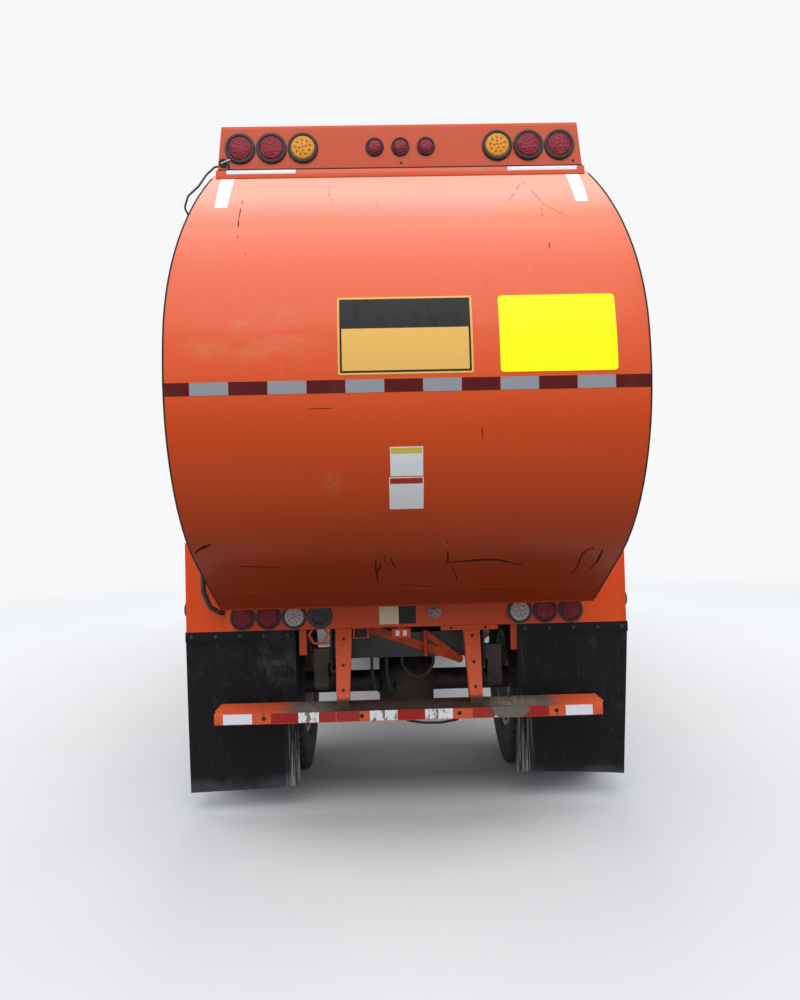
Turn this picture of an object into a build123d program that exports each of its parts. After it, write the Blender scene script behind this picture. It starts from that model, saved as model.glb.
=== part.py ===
from build123d import *
import os
from math import asin, cos, hypot, radians, sin, sqrt

# A two-axle side-arm refuse truck in millimetres. +X is the kerb side, +Y is forward, +Z is up.
# The origin lies on the ground below the middle of the outline.
os.makedirs("parts", exist_ok=True)

# Lengths along the truck
tailgate_reach = 1120
rear_overhang = 760
wheelbase = 4600
front_overhang = 1350
overall_length = tailgate_reach + rear_overhang + wheelbase + front_overhang
y_bolster = tailgate_reach - overall_length / 2
y_rear_axle = y_bolster + rear_overhang
y_front_axle = y_rear_axle + wheelbase
y_nose = y_front_axle + front_overhang

# Clearances
seat = 0.3
running = 0.3
moving_gap = 8

# Barrel-sided load body
body_half = 960
shoulder_z = 2320
side_radius = 2700
eave_z = 3130
roof_z = 3145
wall = 30
floor_z = 1130
floor_plate = 40
box_width = 240
lower_half = body_half + box_width
roof_seam_set = 200
roof_seam = body_half - roof_seam_set
body_front_setback = 2150
hopper_front_setback = 700
y_body_front = y_front_axle - body_front_setback
y_hopper_front = y_front_axle - hopper_front_setback
frame_depth = 110
y_body_rear = y_bolster + frame_depth

# Chassis
rail_half = 432
rail_flange = 80
rail_depth = 257
rail_top = 985
rail_web = 10
bolster_depth = 100
rail_front_setback = 180
y_rail_rear = y_bolster + bolster_depth
y_rail_front = y_nose - rail_front_setback

# Wheels
tyre_radius = 527
tyre_width = 279
bead_radius = 286
bead_width = 205
tread_width = 236
rim_flange = 12
flange_lip = 17
rim_wall = 14
disc_thickness = 14
dual_spacing = 330
dual_centre = 912
front_wheel_x = 1030
hub_radius = 110
spindle_radius = 38
drum_radius = 205
kingpin_x = 890
kingpin_radius = 24

# Cab
cab_half = 1150
cab_skin = 40
cab_back_setback = 580
cab_front_set = 1250
cab_roof_z = 2560
cab_sill_z = 820
cab_rear_sill_z = 1160
nose_tunnel_half = 470
nose_tunnel_clear = 30
tunnel_sheet = 25
nose_tunnel_top = rail_top + nose_tunnel_clear + tunnel_sheet
arch_radius = 625
waist_z = 1500
window_top_z = 2300
door_rear_set = 290
door_front_set = 1075
door_gap = 6
door_sill_gap = 10
y_cab_back = y_front_axle - cab_back_setback
y_cab_front = y_front_axle + cab_front_set
windscreen_rake = 110
tilt_y = y_front_axle + 1150
tilt_z = 740
tilt_pin = 22

# Tailgate, as distances behind the bolster's rear face
gate_gap = 8
gate_sheet = 12
upper_radius = 1420
lower_radius = 870
bulge_z = 2150
lower_sweep = 60
lip_reach = 220
hinge_z = roof_z + 50
hinge_pin_radius = 20
hinge_boss_radius = 42
hinge_x = 560
hinge_width = 60

# Light bar on the tailgate
bar_end_set = 20
bar_taper = 20
bar_height = 208
bar_depth = 130
bar_sheet = 10
bar_reach = 740

# Round lamps
lamp_radius = 68
lens_radius = 53
lamp_stand = 12
lens_stand = 18
lamp_seat_depth = 30
small_lamp_radius = 41
small_lens_radius = 31.5
small_lamp_pitch = 115

# Rear bumper and flaps
bumper_end_reach = 50
bumper_half = body_half + bumper_end_reach
bumper_top = 602
bumper_face = 57
bumper_depth = 203
bumper_rear_reach = 228
bumper_web = 8
strut_x = 350
strut_top_width = 90
strut_foot_width = 66
flap_width = 610
flap_outer = lower_half
flap_low_z = 110
flap_strip = 55
flap_thickness = 10

# Side arm
arm_setback = 1380
y_arm = y_front_axle - arm_setback
rail_box_width = 180
rail_box_height = 130
rail_box_wall = 10
rail_box_end_set = 180
mast_stand = 65
mast_x = body_half + mast_stand
rail_box_left = 700
rail_box_right = body_half - rail_box_end_set
mast_depth = 80
mast_width = 140
pivot_stand = 25
arm_pivot_x = mast_x + pivot_stand
arm_pivot_z = 2050
drum_radius_arm = 75
arm_plate = 20
arm_plate_gap = 6
beam_stand = 28
arm_beam_in = arm_pivot_x + beam_stand
arm_beam_depth = 62
arm_foot_z = 780
finger_pivot_y = 300
finger_stand = 90
finger_pivot_x = arm_beam_in + finger_stand
finger_height = 150
finger_z = 815
finger_reach = 390
finger_sheet = 22
finger_pin_radius = 15

# Tailgate cylinders
barrel_radius = 45
cylinder_side_gap = 17
boss_radius = 60
cylinder_x = body_half + cylinder_side_gap + barrel_radius
rod_radius = 24
cylinder_base_y = y_bolster + 950
cylinder_base_z = 2300
cylinder_eye_reach = 300
cylinder_eye_z = 2600
eye_radius = 38
pin_radius = 18

# Arc geometry of the barrel sides
side_centre_x = body_half - side_radius
eave_half = side_centre_x + sqrt(side_radius ** 2 - (eave_z - shoulder_z) ** 2)
bar_half_low = eave_half - bar_end_set
bar_half_high = bar_half_low - bar_taper


def across(y):
    """An upright plane square to the truck's length: its sketches extrude towards the rear."""
    return Plane.XZ.offset(-y)


def beside(x):
    """An upright plane along the truck: its sketches extrude towards the kerb."""
    return Plane.YZ.offset(x)


def level(z):
    return Plane.XY.offset(z)


def block(x0, x1, y0, y1, z0, z1, mode=Mode.ADD):
    """A straight-sided piece between two corners."""
    with Locations(((x0 + x1) / 2, (y0 + y1) / 2, (z0 + z1) / 2)):
        Box(abs(x1 - x0), abs(y1 - y0), abs(z1 - z0), mode=mode)


def rod_along_x(x0, x1, y, z, radius, mode=Mode.ADD):
    with Locations(Location(((x0 + x1) / 2, y, z), (0, 90, 0))):
        Cylinder(radius, abs(x1 - x0), mode=mode)


def rod_along_y(x, y0, y1, z, radius, mode=Mode.ADD):
    with Locations(Location((x, (y0 + y1) / 2, z), (90, 0, 0))):
        Cylinder(radius, abs(y1 - y0), mode=mode)


def rod_along_z(x, y, z0, z1, radius, mode=Mode.ADD):
    with Locations((x, y, (z0 + z1) / 2)):
        Cylinder(radius, abs(z1 - z0), mode=mode)


def save(piece, name):
    piece.part.label = name
    export_step(piece.part, f"parts/{name}.step")


def barrel_outline(inset, bottom, mode=Mode.ADD):
    """The body's cross-section: upright sides, barrel shoulders and a crowned roof."""
    radius = side_radius - inset
    half = side_centre_x + radius
    eave_x = side_centre_x + sqrt(radius ** 2 - (eave_z - inset - shoulder_z) ** 2)
    shoulder_mid = asin((eave_z - inset - shoulder_z) / radius) / 2
    mid_x = side_centre_x + radius * cos(shoulder_mid)
    mid_z = shoulder_z + radius * sin(shoulder_mid)
    with BuildLine() as outline:
        Line((-half, bottom), (half, bottom))
        Line((half, bottom), (half, shoulder_z))
        ThreePointArc((half, shoulder_z), (mid_x, mid_z), (eave_x, eave_z - inset))
        ThreePointArc((eave_x, eave_z - inset), (0, roof_z - inset), (-eave_x, eave_z - inset))
        ThreePointArc((-eave_x, eave_z - inset), (-mid_x, mid_z), (-half, shoulder_z))
        Line((-half, shoulder_z), (-half, bottom))
    make_face(outline.edges(), mode=mode)


# Frame rails: two channels with open sides inwards, tied by cross members
member_half = 40
member_drop = 60
member_depth = 140
end_member_set = 130
nose_member_set = 250
axle_member_sets = (-420, 480, 1500, 2400)
cross_members = (y_rail_rear + end_member_set, *(y_rear_axle + reach for reach in axle_member_sets),
                 y_rail_front - nose_member_set)
member_top = rail_top - member_drop
member_foot = member_top - member_depth
with BuildPart() as frame_rails:
    for side in (-1, 1):
        outer = side * rail_half
        inner = side * (rail_half - rail_flange)
        web = side * (rail_half - rail_web)
        block(outer, web, y_rail_rear, y_rail_front, rail_top - rail_depth, rail_top)
        block(web, inner, y_rail_rear, y_rail_front, rail_top - rail_web, rail_top)
        block(web, inner, y_rail_rear, y_rail_front, rail_top - rail_depth, rail_top - rail_depth + rail_web)
    for y in cross_members:
        block(-(rail_half - rail_web), rail_half - rail_web, y - member_half, y + member_half, member_foot,
              member_top)
    for side in (-1, 1):
        block(side * 300, side * (rail_half - rail_flange), tilt_y - 45, tilt_y, rail_top - rail_depth, tilt_z + 40)
        rod_along_x(side * 300, side * (rail_half - rail_flange), tilt_y, tilt_z, 40)
        rod_along_x(side * 240, side * 300, tilt_y, tilt_z, tilt_pin)
        block(side * (rail_half - rail_flange), side * rail_half, y_cab_back + 20, y_cab_back + 90, rail_top - 5,
              cab_rear_sill_z - seat)
save(frame_rails, "frame_rails")


# Leaf springs, each a bowed pack with an eye at both ends, hung from the rails
def leaf_spring(x, y, z, half_length, sag, width, thickness, hanger_top):
    with BuildSketch(beside(x - width / 2)) as pack:
        with BuildLine():
            ThreePointArc((y - half_length, z + sag), (y, z), (y + half_length, z + sag))
            Line((y + half_length, z + sag), (y + half_length, z + sag + 24))
            ThreePointArc((y + half_length, z + sag + 24), (y, z + thickness), (y - half_length, z + sag + 24))
            Line((y - half_length, z + sag + 24), (y - half_length, z + sag))
        make_face()
    extrude(pack.sketch, amount=width)
    for end in (-1, 1):
        rod_along_x(x - width / 2, x + width / 2, y + end * half_length, z + sag + 12, 26)
        block(x - width / 2, x + width / 2, y + end * half_length - 24, y + end * half_length + 24,
              z + sag + 12, hanger_top)


front_axle_z = tyre_radius - 70
beam_drop_x = 600
with BuildPart() as front_axle:
    with BuildSketch(across(y_front_axle + 50)):
        with BuildLine():
            Polyline((-kingpin_x + 30, tyre_radius - 55), (-kingpin_x + 120, tyre_radius - 55),
                     (-beam_drop_x, front_axle_z - 95), (beam_drop_x, front_axle_z - 95),
                     (kingpin_x - 120, tyre_radius - 55), (kingpin_x - 30, tyre_radius - 55),
                     (kingpin_x - 30, tyre_radius + 55), (kingpin_x - 120, tyre_radius + 55),
                     (beam_drop_x, front_axle_z), (-beam_drop_x, front_axle_z),
                     (-kingpin_x + 120, tyre_radius + 55), (-kingpin_x + 30, tyre_radius + 55), close=True)
        make_face()
    extrude(amount=100)
    for side in (-1, 1):
        leaf_spring(side * 392, y_front_axle, front_axle_z - 4, 620, 90, 76, 90, rail_top - rail_depth - seat)
        rod_along_z(side * kingpin_x, y_front_axle, tyre_radius - 55, tyre_radius + 55, 42)
        rod_along_z(side * kingpin_x, y_front_axle, tyre_radius - 120, tyre_radius + 120, kingpin_radius)
save(front_axle, "front_axle")

axle_tube_radius = 68
hub_inner_x = dual_centre - 240
with BuildPart() as rear_axle:
    rod_along_x(-(hub_inner_x - moving_gap), hub_inner_x - moving_gap, y_rear_axle, tyre_radius, axle_tube_radius)
    rod_along_x(-(dual_centre + 40), dual_centre + 40, y_rear_axle, tyre_radius, spindle_radius)
    with BuildSketch(beside(-170)):
        with Locations((y_rear_axle, tyre_radius)):
            Circle(150)
    with BuildSketch(beside(0)):
        with Locations((y_rear_axle, tyre_radius)):
            Circle(205)
    with BuildSketch(beside(170)):
        with Locations((y_rear_axle, tyre_radius)):
            Circle(150)
    loft()
    rod_along_y(0, y_rear_axle, y_rear_axle + 330, tyre_radius + 20, 75)
    for side in (-1, 1):
        leaf_spring(side * 482, y_rear_axle, tyre_radius + 60, 660, 60, 76, 110, rail_top - 120)
        for end in (-1, 1):
            hanger_y = y_rear_axle + end * 660
            block(side * (rail_half + seat), side * 450, hanger_y - 24, hanger_y + 24, rail_top - 200, rail_top - 120)

engine_half = 300
engine_top = 1400
y_engine_rear = y_front_axle - 640
y_engine_front = y_front_axle + 420
with BuildPart() as engine_block:
    block(-engine_half, engine_half, y_engine_rear, y_engine_front, rail_top - rail_depth - 60, engine_top)
    fillet(engine_block.edges().filter_by(Axis.Y), 30)
    block(-engine_half + 60, engine_half - 60, y_engine_rear - 160, y_engine_rear, rail_top - rail_depth - 20, rail_top - 40)
    for side in (-1, 1):
        block(side * engine_half, side * (rail_half - rail_web - seat), y_front_axle - 300, y_front_axle - 200,
              rail_top - 150, rail_top - 110)
save(engine_block, "engine_block")

shaft_radius = 55
shaft_rear = (0, y_rear_axle + 330 + seat, tyre_radius + 20)
shaft_front = (0, y_engine_rear - 160 - seat, tyre_radius + 230)
with BuildPart() as drive_shaft:
    shaft_run = hypot(shaft_front[1] - shaft_rear[1], shaft_front[2] - shaft_rear[2])
    with BuildSketch(across(shaft_rear[1])):
        with Locations((shaft_rear[0], shaft_rear[2])):
            Circle(shaft_radius)
    with BuildSketch(across(shaft_front[1])):
        with Locations((shaft_front[0], shaft_front[2])):
            Circle(shaft_radius)
    loft()
with BuildPart() as driven_axle:
    add(rear_axle.part)
    add(drive_shaft.part)
save(driven_axle, "rear_axle")

tank_radius = 285
tank_x = -(rail_half + 40 + tank_radius)
tank_z = 650
tank_length = 1200
tank_front_setback = 1150
y_tank_front = y_front_axle - tank_front_setback
y_tank_rear = y_tank_front - tank_length
with BuildPart() as fuel_tank:
    rod_along_y(tank_x, y_tank_rear, y_tank_front, tank_z, tank_radius)
    fillet(fuel_tank.edges().filter_by(GeomType.CIRCLE), 28)
    for y in (y_tank_rear + 250, y_tank_front - 250):
        with BuildSketch(across(y + 30)):
            with Locations((tank_x, tank_z)):
                Circle(tank_radius + 6)
        extrude(amount=60)
        block(tank_x, -(rail_half + seat), y - 30, y + 30, rail_top - 190, rail_top - 60)
    rod_along_z(tank_x, y_tank_rear + 120, tank_z + tank_radius - 20, tank_z + tank_radius + 30, 45)
save(fuel_tank, "fuel_tank")

muffler_radius = 150
muffler_x = rail_half + 60 + muffler_radius
muffler_z = 720
muffler_length = 1050
muffler_front_setback = 2400
y_muffler_front = y_front_axle - muffler_front_setback
y_muffler_rear = y_muffler_front - muffler_length
with BuildPart() as muffler:
    rod_along_y(muffler_x, y_muffler_rear, y_muffler_front, muffler_z, muffler_radius)
    fillet(muffler.edges().filter_by(GeomType.CIRCLE), 30)
    rod_along_y(muffler_x, y_muffler_front, y_muffler_front + 200, muffler_z, 50)
    for y in (y_muffler_rear + 200, y_muffler_front - 200):
        block(rail_half + seat, muffler_x, y - 25, y + 25, rail_top - 190, rail_top - 80)
        with BuildSketch(across(y + 25)):
            with Locations((muffler_x, muffler_z)):
                Circle(muffler_radius + 6)
        extrude(amount=50)
save(muffler, "muffler")

# Front bumper: a swept channel with its ends turned back
bumper_front_low = 430
bumper_front_high = 700
bracket_lap = 32
with BuildPart() as front_bumper:
    with BuildSketch(level(bumper_front_low)):
        with BuildLine():
            Polyline((-1180, y_nose - 330), (-1180, y_nose - 120), (-1040, y_nose), (1040, y_nose),
                     (1180, y_nose - 120), (1180, y_nose - 330), (1150, y_nose - 330), (1150, y_nose - 134),
                     (1027, y_nose - 30), (-1027, y_nose - 30), (-1150, y_nose - 134), (-1150, y_nose - 330),
                     close=True)
        make_face()
    extrude(amount=bumper_front_high - bumper_front_low)
    for side in (-1, 1):
        block(side * 352, side * rail_half, y_rail_front + seat, y_nose - 30, bumper_front_high - 150,
              bumper_front_high)
        block(side * 352, side * rail_half, y_rail_front + seat, y_rail_front + 30, bumper_front_high - 150,
              rail_top - rail_depth + bracket_lap)
    for side in (-1, 1):
        rod_along_y(side * 800, y_nose - 200, y_nose + 20, 580, 108, mode=Mode.SUBTRACT)
save(front_bumper, "front_bumper")

with BuildPart() as headlamps:
    for side in (-1, 1):
        rod_along_y(side * 800, y_nose - 110, y_nose - 4, 580, 108 - seat)
save(headlamps, "headlamps")

# Cab: one raked shell, split below into its panels
brow_y = y_cab_front - windscreen_rake
with BuildPart() as cab_outer:
    with BuildSketch(beside(-cab_half)):
        with BuildLine():
            Polyline((y_cab_back, cab_rear_sill_z), (y_front_axle + arch_radius, cab_rear_sill_z),
                     (y_front_axle + arch_radius, cab_sill_z), (y_cab_front, cab_sill_z),
                     (y_cab_front, waist_z - 60), (brow_y, cab_roof_z), (y_cab_back, cab_roof_z), close=True)
        make_face()
    extrude(amount=2 * cab_half)
    fillet(cab_outer.faces().sort_by(Axis.Z)[-1].edges(), 90)
with BuildPart() as cab_inner:
    with BuildSketch(beside(-(cab_half - cab_skin))):
        with BuildLine():
            Polyline((y_cab_back + cab_skin, cab_rear_sill_z + cab_skin),
                     (y_front_axle + arch_radius + cab_skin, cab_rear_sill_z + cab_skin),
                     (y_front_axle + arch_radius + cab_skin, cab_sill_z + cab_skin),
                     (y_cab_front - cab_skin, cab_sill_z + cab_skin),
                     (y_cab_front - cab_skin, waist_z - 60), (brow_y - cab_skin, cab_roof_z - cab_skin),
                     (y_cab_back + cab_skin, cab_roof_z - cab_skin), close=True)
        make_face()
    extrude(amount=2 * (cab_half - cab_skin))
    fillet(cab_inner.faces().sort_by(Axis.Z)[-1].edges(), 50)

y_door_rear = y_front_axle + door_rear_set
y_door_front = y_front_axle + door_front_set
door_top_z = 2380
screen_low_z = waist_z + 30
screen_high_z = 2400
tunnel_half = 350
tunnel_top = 1450


def windows_cut():
    """Window openings through the cab's shell."""
    block(-cab_half + 110, cab_half - 110, y_front_axle + 1120 - 60, y_nose, screen_low_z, screen_high_z,
          mode=Mode.SUBTRACT)
    block(-700, 700, y_cab_back - 10, y_cab_back + 120, 1700, 2250, mode=Mode.SUBTRACT)
    block(-cab_half - 10, cab_half + 10, y_cab_back + 160, y_door_rear - 110, 1700, window_top_z,
          mode=Mode.SUBTRACT)


with BuildPart() as cab_shell:
    add(cab_outer.part)
    add(cab_inner.part, mode=Mode.SUBTRACT)
    windows_cut()
    block(-tunnel_half, tunnel_half, y_cab_back - 10, y_engine_front + 60, cab_sill_z - 10, cab_rear_sill_z + cab_skin + 10,
          mode=Mode.SUBTRACT)
    block(-tunnel_half, tunnel_half, y_cab_back - 10, y_cab_back + cab_skin + 10, cab_sill_z, tunnel_top, mode=Mode.SUBTRACT)
    for side in (-1, 1):
        block(side * (cab_half - cab_skin - door_sill_gap), side * (cab_half + 1), y_door_rear - door_gap,
              y_door_front + door_gap, cab_sill_z - 1, door_top_z + door_gap, mode=Mode.SUBTRACT)
        rod_along_x(side * 560, side * (cab_half + 1), y_front_axle, tyre_radius, arch_radius, mode=Mode.SUBTRACT)

step_rear, step_front = y_front_axle + 690, y_front_axle + 990
step_in, step_out = 930, cab_half - 5
step_low_z = 440
step_mid_z = 640
step_sheet = 18
roof_split_z = 2440
floor_split_rear = cab_rear_sill_z + cab_skin
with BuildPart() as cab_roof:
    add(cab_shell.part)
    block(-cab_half - 5, cab_half + 5, y_cab_back - 5, y_nose, roof_split_z, cab_roof_z + 50, mode=Mode.INTERSECT)
save(cab_roof, "cab_roof")

with BuildPart() as cab_floor:
    add(cab_shell.part)
    with BuildSketch(beside(-cab_half - 5)):
        with BuildLine():
            Polyline((y_cab_back - 5, floor_split_rear), (y_front_axle + arch_radius + cab_skin, floor_split_rear),
                     (y_front_axle + arch_radius + cab_skin, cab_sill_z + cab_skin),
                     (y_cab_front - cab_skin, cab_sill_z + cab_skin),
                     (y_cab_front - cab_skin, cab_sill_z - 200), (y_cab_back - 5, cab_sill_z - 200), close=True)
        make_face()
    extrude(amount=2 * cab_half + 10, mode=Mode.INTERSECT)
    block(-nose_tunnel_half - seat, nose_tunnel_half + seat, y_front_axle + arch_radius - 5, y_cab_front + 5,
          cab_sill_z - 5, nose_tunnel_top + seat, mode=Mode.SUBTRACT)
    for side in (-1, 1):
        block(side * step_in, side * step_out, step_rear, step_front, step_low_z, cab_sill_z)
        for low, high in ((step_low_z + step_sheet, step_mid_z - step_sheet), (step_mid_z, cab_sill_z - step_sheet)):
            block(side * (step_in + step_sheet), side * (step_out + 5), step_rear + step_sheet,
                  step_front - step_sheet, low, high, mode=Mode.SUBTRACT)
save(cab_floor, "cab_floor")

# Covers over the engine and the frame's nose, with the lugs that the cab tilts on
tunnel_x = tunnel_half - seat
with BuildPart() as cab_tunnel:
    block(-tunnel_x, tunnel_x, y_cab_back, y_engine_front + 60 - seat, cab_rear_sill_z, tunnel_top)
    block(-tunnel_x + tunnel_sheet, tunnel_x - tunnel_sheet, y_cab_back - 5, y_engine_front + 60 - tunnel_sheet,
          cab_rear_sill_z - 5, tunnel_top - tunnel_sheet, mode=Mode.SUBTRACT)
    block(-nose_tunnel_half, nose_tunnel_half, y_front_axle + arch_radius, y_cab_front - cab_skin - seat,
          cab_sill_z, nose_tunnel_top)
    block(-nose_tunnel_half + tunnel_sheet, nose_tunnel_half - tunnel_sheet, y_front_axle + arch_radius - 5,
          y_cab_front - cab_skin + 5, cab_sill_z - 5, nose_tunnel_top - tunnel_sheet, mode=Mode.SUBTRACT)
    for side in (-1, 1):
        block(side * 250, side * 292, tilt_y - 40, tilt_y + 40, tilt_z, nose_tunnel_top - tunnel_sheet + 5)
        rod_along_x(side * 250, side * 292, tilt_y, tilt_z, 40)
        rod_along_x(side * 249, side * 293, tilt_y, tilt_z, tilt_pin + running, mode=Mode.SUBTRACT)
save(cab_tunnel, "cab_tunnel")

# What the frame carries beside the front wheels
air_tank_radius = 108
y_air_rear, y_air_front = y_front_axle - 1150, y_front_axle - 700
air_tank_x = rail_half + 30 + air_tank_radius
battery_out = 880
y_battery_rear, y_battery_front = y_front_axle - 1080, y_front_axle - 700
with BuildPart() as frame_boxes:
    for z in (rail_top - 120, rail_top - 120 - 2 * air_tank_radius - 20):
        rod_along_y(air_tank_x, y_air_rear, y_air_front, z, air_tank_radius)
    fillet(frame_boxes.edges().filter_by(GeomType.CIRCLE), 24)
    for y in (y_air_rear + 90, y_air_front - 90):
        block(rail_half + seat, air_tank_x, y - 15, y + 15, rail_top - 430, rail_top - 60)
    block(-battery_out, -rail_half - seat, y_battery_rear, y_battery_front, rail_top - 430, rail_top - 130)
    block(-battery_out - 8, -rail_half - 30, y_battery_rear - 8, y_battery_front + 8, rail_top - 130, rail_top - 95)
save(frame_boxes, "frame_boxes")

y_front_split = y_front_axle + door_front_set + door_gap + 1
door_pin_x = cab_half + 20
door_pin_y = y_door_front - 22
door_knuckle = 14
door_knuckle_length = 60
door_hinge_z = (1000, 1900)
with BuildPart() as cab_front:
    add(cab_shell.part)
    block(-cab_half - 5, cab_half + 5, y_front_split, y_nose, cab_sill_z - 5, roof_split_z, mode=Mode.INTERSECT)
    block(-cab_half - 5, cab_half + 5, y_front_split - 5, y_cab_front - cab_skin, cab_sill_z - 5, cab_sill_z + cab_skin,
          mode=Mode.SUBTRACT)
    for row in range(7):
        z = 960 + row * 55
        block(-520, 520, y_cab_front - cab_skin - 5, y_cab_front + 5, z, z + 30, mode=Mode.SUBTRACT)
    for side in (-1, 1):
        for z in door_hinge_z:
            for low, high in ((z - 30, z - seat), (z + door_knuckle_length + seat, z + door_knuckle_length + 30)):
                rod_along_z(side * door_pin_x, door_pin_y, low, high, door_knuckle)
                block(side * (door_pin_x - 12), side * (door_pin_x + 8), door_pin_y, y_front_split + 12, low, high)
                block(side * (cab_half - 3), side * (door_pin_x + 8), y_front_split + 2, y_front_split + 24, low, high)
            rod_along_z(side * door_pin_x, door_pin_y, z - 20, z + door_knuckle_length + 20, 6)
save(cab_front, "cab_front")

with BuildPart() as cab_back:
    add(cab_shell.part)
    block(-cab_half - 5, cab_half + 5, y_cab_back - 5, y_front_split, floor_split_rear, roof_split_z,
          mode=Mode.INTERSECT)
save(cab_back, "cab_back")

# Fixed glass: windscreen, rear window and quarter windows
glass = 6


def screen_y(z):
    """Outer face of the windscreen at a height."""
    return y_cab_front - 18 - (z - (waist_z - 60)) * windscreen_rake / (cab_roof_z - (waist_z - 60))


with BuildPart() as cab_glass:
    with BuildSketch(beside(-cab_half + 110 + seat)):
        with BuildLine():
            Polyline((screen_y(screen_low_z + seat), screen_low_z + seat), (screen_y(screen_high_z - seat), screen_high_z - seat),
                     (screen_y(screen_high_z - seat) - glass, screen_high_z - seat),
                     (screen_y(screen_low_z + seat) - glass, screen_low_z + seat), close=True)
        make_face()
    extrude(amount=2 * (cab_half - 110 - seat))
    block(-700 + seat, 700 - seat, y_cab_back + 16, y_cab_back + 16 + glass, 1700 + seat, 2250 - seat)
    for side in (-1, 1):
        block(side * (cab_half - 16), side * (cab_half - 16 - glass), y_cab_back + 160 + seat, y_door_rear - 110 - seat,
              1700 + seat, window_top_z - seat)
save(cab_glass, "cab_glass")

# Doors, hinged at their front edges
for name, side in (("left", -1), ("right", 1)):
    with BuildPart() as door:
        add(cab_outer.part)
        add(cab_inner.part, mode=Mode.SUBTRACT)
        block(side * (cab_half - cab_skin + 0.5), side * (cab_half + 5), y_door_rear, y_door_front, cab_sill_z,
              door_top_z, mode=Mode.INTERSECT)
        rod_along_x(side * 560, side * (cab_half + 10), y_front_axle, tyre_radius, arch_radius + 12, mode=Mode.SUBTRACT)
        block(side * (cab_half - 100), side * (cab_half + 10), y_door_rear + 100, y_door_front - 90, waist_z,
              window_top_z, mode=Mode.SUBTRACT)
        block(side * (cab_half - 4), side * (cab_half + 22), y_door_rear + 40, y_door_rear + 80, 1310, 1450)
        for z in door_hinge_z:
            rod_along_z(side * door_pin_x, door_pin_y, z, z + door_knuckle_length, door_knuckle)
            block(side * (cab_half - 4), side * door_pin_x, door_pin_y - 10, door_pin_y + 10, z, z + door_knuckle_length)
            rod_along_z(side * door_pin_x, door_pin_y, z - 1, z + door_knuckle_length + 1, 6 + running, mode=Mode.SUBTRACT)
    save(door, f"door_{name}")
    with BuildPart() as door_glass:
        block(side * (cab_half - 17), side * (cab_half - 17 - glass), y_door_rear + 100 + seat, y_door_front - 90 - seat,
              waist_z + seat, window_top_z - seat)
    save(door_glass, f"door_glass_{name}")

# Inside the cab
with BuildPart() as dash:
    with BuildSketch(beside(-cab_half + cab_skin + 12)):
        with BuildLine():
            Polyline((y_cab_front - cab_skin - seat, 1250), (y_cab_front - cab_skin - seat, 1430),
                     (y_cab_front - 260, 1450), (y_cab_front - 330, 1330), (y_cab_front - 300, 1250), close=True)
        make_face()
    extrude(amount=2 * (cab_half - cab_skin - 12))
    wheel_tilt = Plane(origin=(-600, y_cab_front - 430, 1500), x_dir=(1, 0, 0), z_dir=(0, -0.6, 0.8))
    with BuildSketch(wheel_tilt.offset(-280)):
        Circle(28)
    extrude(amount=290)
    with BuildSketch(wheel_tilt):
        Rectangle(400, 40)
        Circle(60)
    extrude(amount=16)
    with BuildSketch(Plane(origin=wheel_tilt.origin, x_dir=wheel_tilt.z_dir, z_dir=(1, 0, 0))):
        with Locations((8, 215)):
            Circle(16)
    revolve(axis=Axis(wheel_tilt.origin, wheel_tilt.z_dir), revolution_arc=360)
save(dash, "dash")

seat_base_z = cab_rear_sill_z + cab_skin + seat
with BuildPart() as seats:
    for x in (-680, 680):
        with BuildSketch(beside(x - 230)):
            with BuildLine():
                Polyline((y_front_axle - 330, seat_base_z), (y_front_axle + 120, seat_base_z),
                         (y_front_axle + 180, seat_base_z + 250), (y_front_axle + 160, seat_base_z + 330),
                         (y_front_axle - 230, seat_base_z + 300), (y_front_axle - 330, seat_base_z + 950),
                         (y_front_axle - 430, seat_base_z + 950), (y_front_axle - 370, seat_base_z + 250), close=True)
            make_face()
        extrude(amount=460)
save(seats, "seats")

with BuildPart() as mirrors:
    for side in (-1, 1):
        block(side * (cab_half + 70), side * (cab_half + 250), y_cab_front - 130, y_cab_front - 50, 1560, 2050)
        for z in (1600, 2010):
            rod_along_x(side * (cab_half + seat), side * (cab_half + 80), y_cab_front - 90, z, 12)
    fillet(mirrors.edges().filter_by(Axis.Y), 20)
save(mirrors, "mirrors")

# Load body with two hoops, and the bosses that carry the tailgate's cylinders
hoop_width = 70
hoop_height = 22
box_front_set = 820
y_box_front = y_rear_axle + box_front_set
with BuildPart() as body_shell:
    with BuildSketch(across(y_body_front)):
        barrel_outline(0, floor_z + floor_plate)
        barrel_outline(wall, floor_z - 100, mode=Mode.SUBTRACT)
    extrude(amount=y_body_front - y_body_rear)
    for y in (y_body_front - 20, y_box_front + 330):
        with BuildSketch(across(y)):
            barrel_outline(-hoop_height, floor_z + floor_plate)
            barrel_outline(wall / 2, floor_z, mode=Mode.SUBTRACT)
        extrude(amount=hoop_width)
    for side in (-1, 1):
        rod_along_x(side * (body_half - wall / 2), side * (cylinder_x - barrel_radius - moving_gap), cylinder_base_y,
                    cylinder_base_z, boss_radius)
        rod_along_x(side * (body_half - wall / 2), side * (cylinder_x + 45), cylinder_base_y, cylinder_base_z,
                    pin_radius)

for name, x0, x1 in (("body_side_left", -lower_half, -roof_seam), ("body_roof", -roof_seam, roof_seam),
                     ("body_side_right", roof_seam, lower_half)):
    with BuildPart() as panel:
        add(body_shell.part)
        block(x0, x1, y_body_rear - 5, y_body_front + 5, floor_z, roof_z + 50, mode=Mode.INTERSECT)
    save(panel, name)

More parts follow.
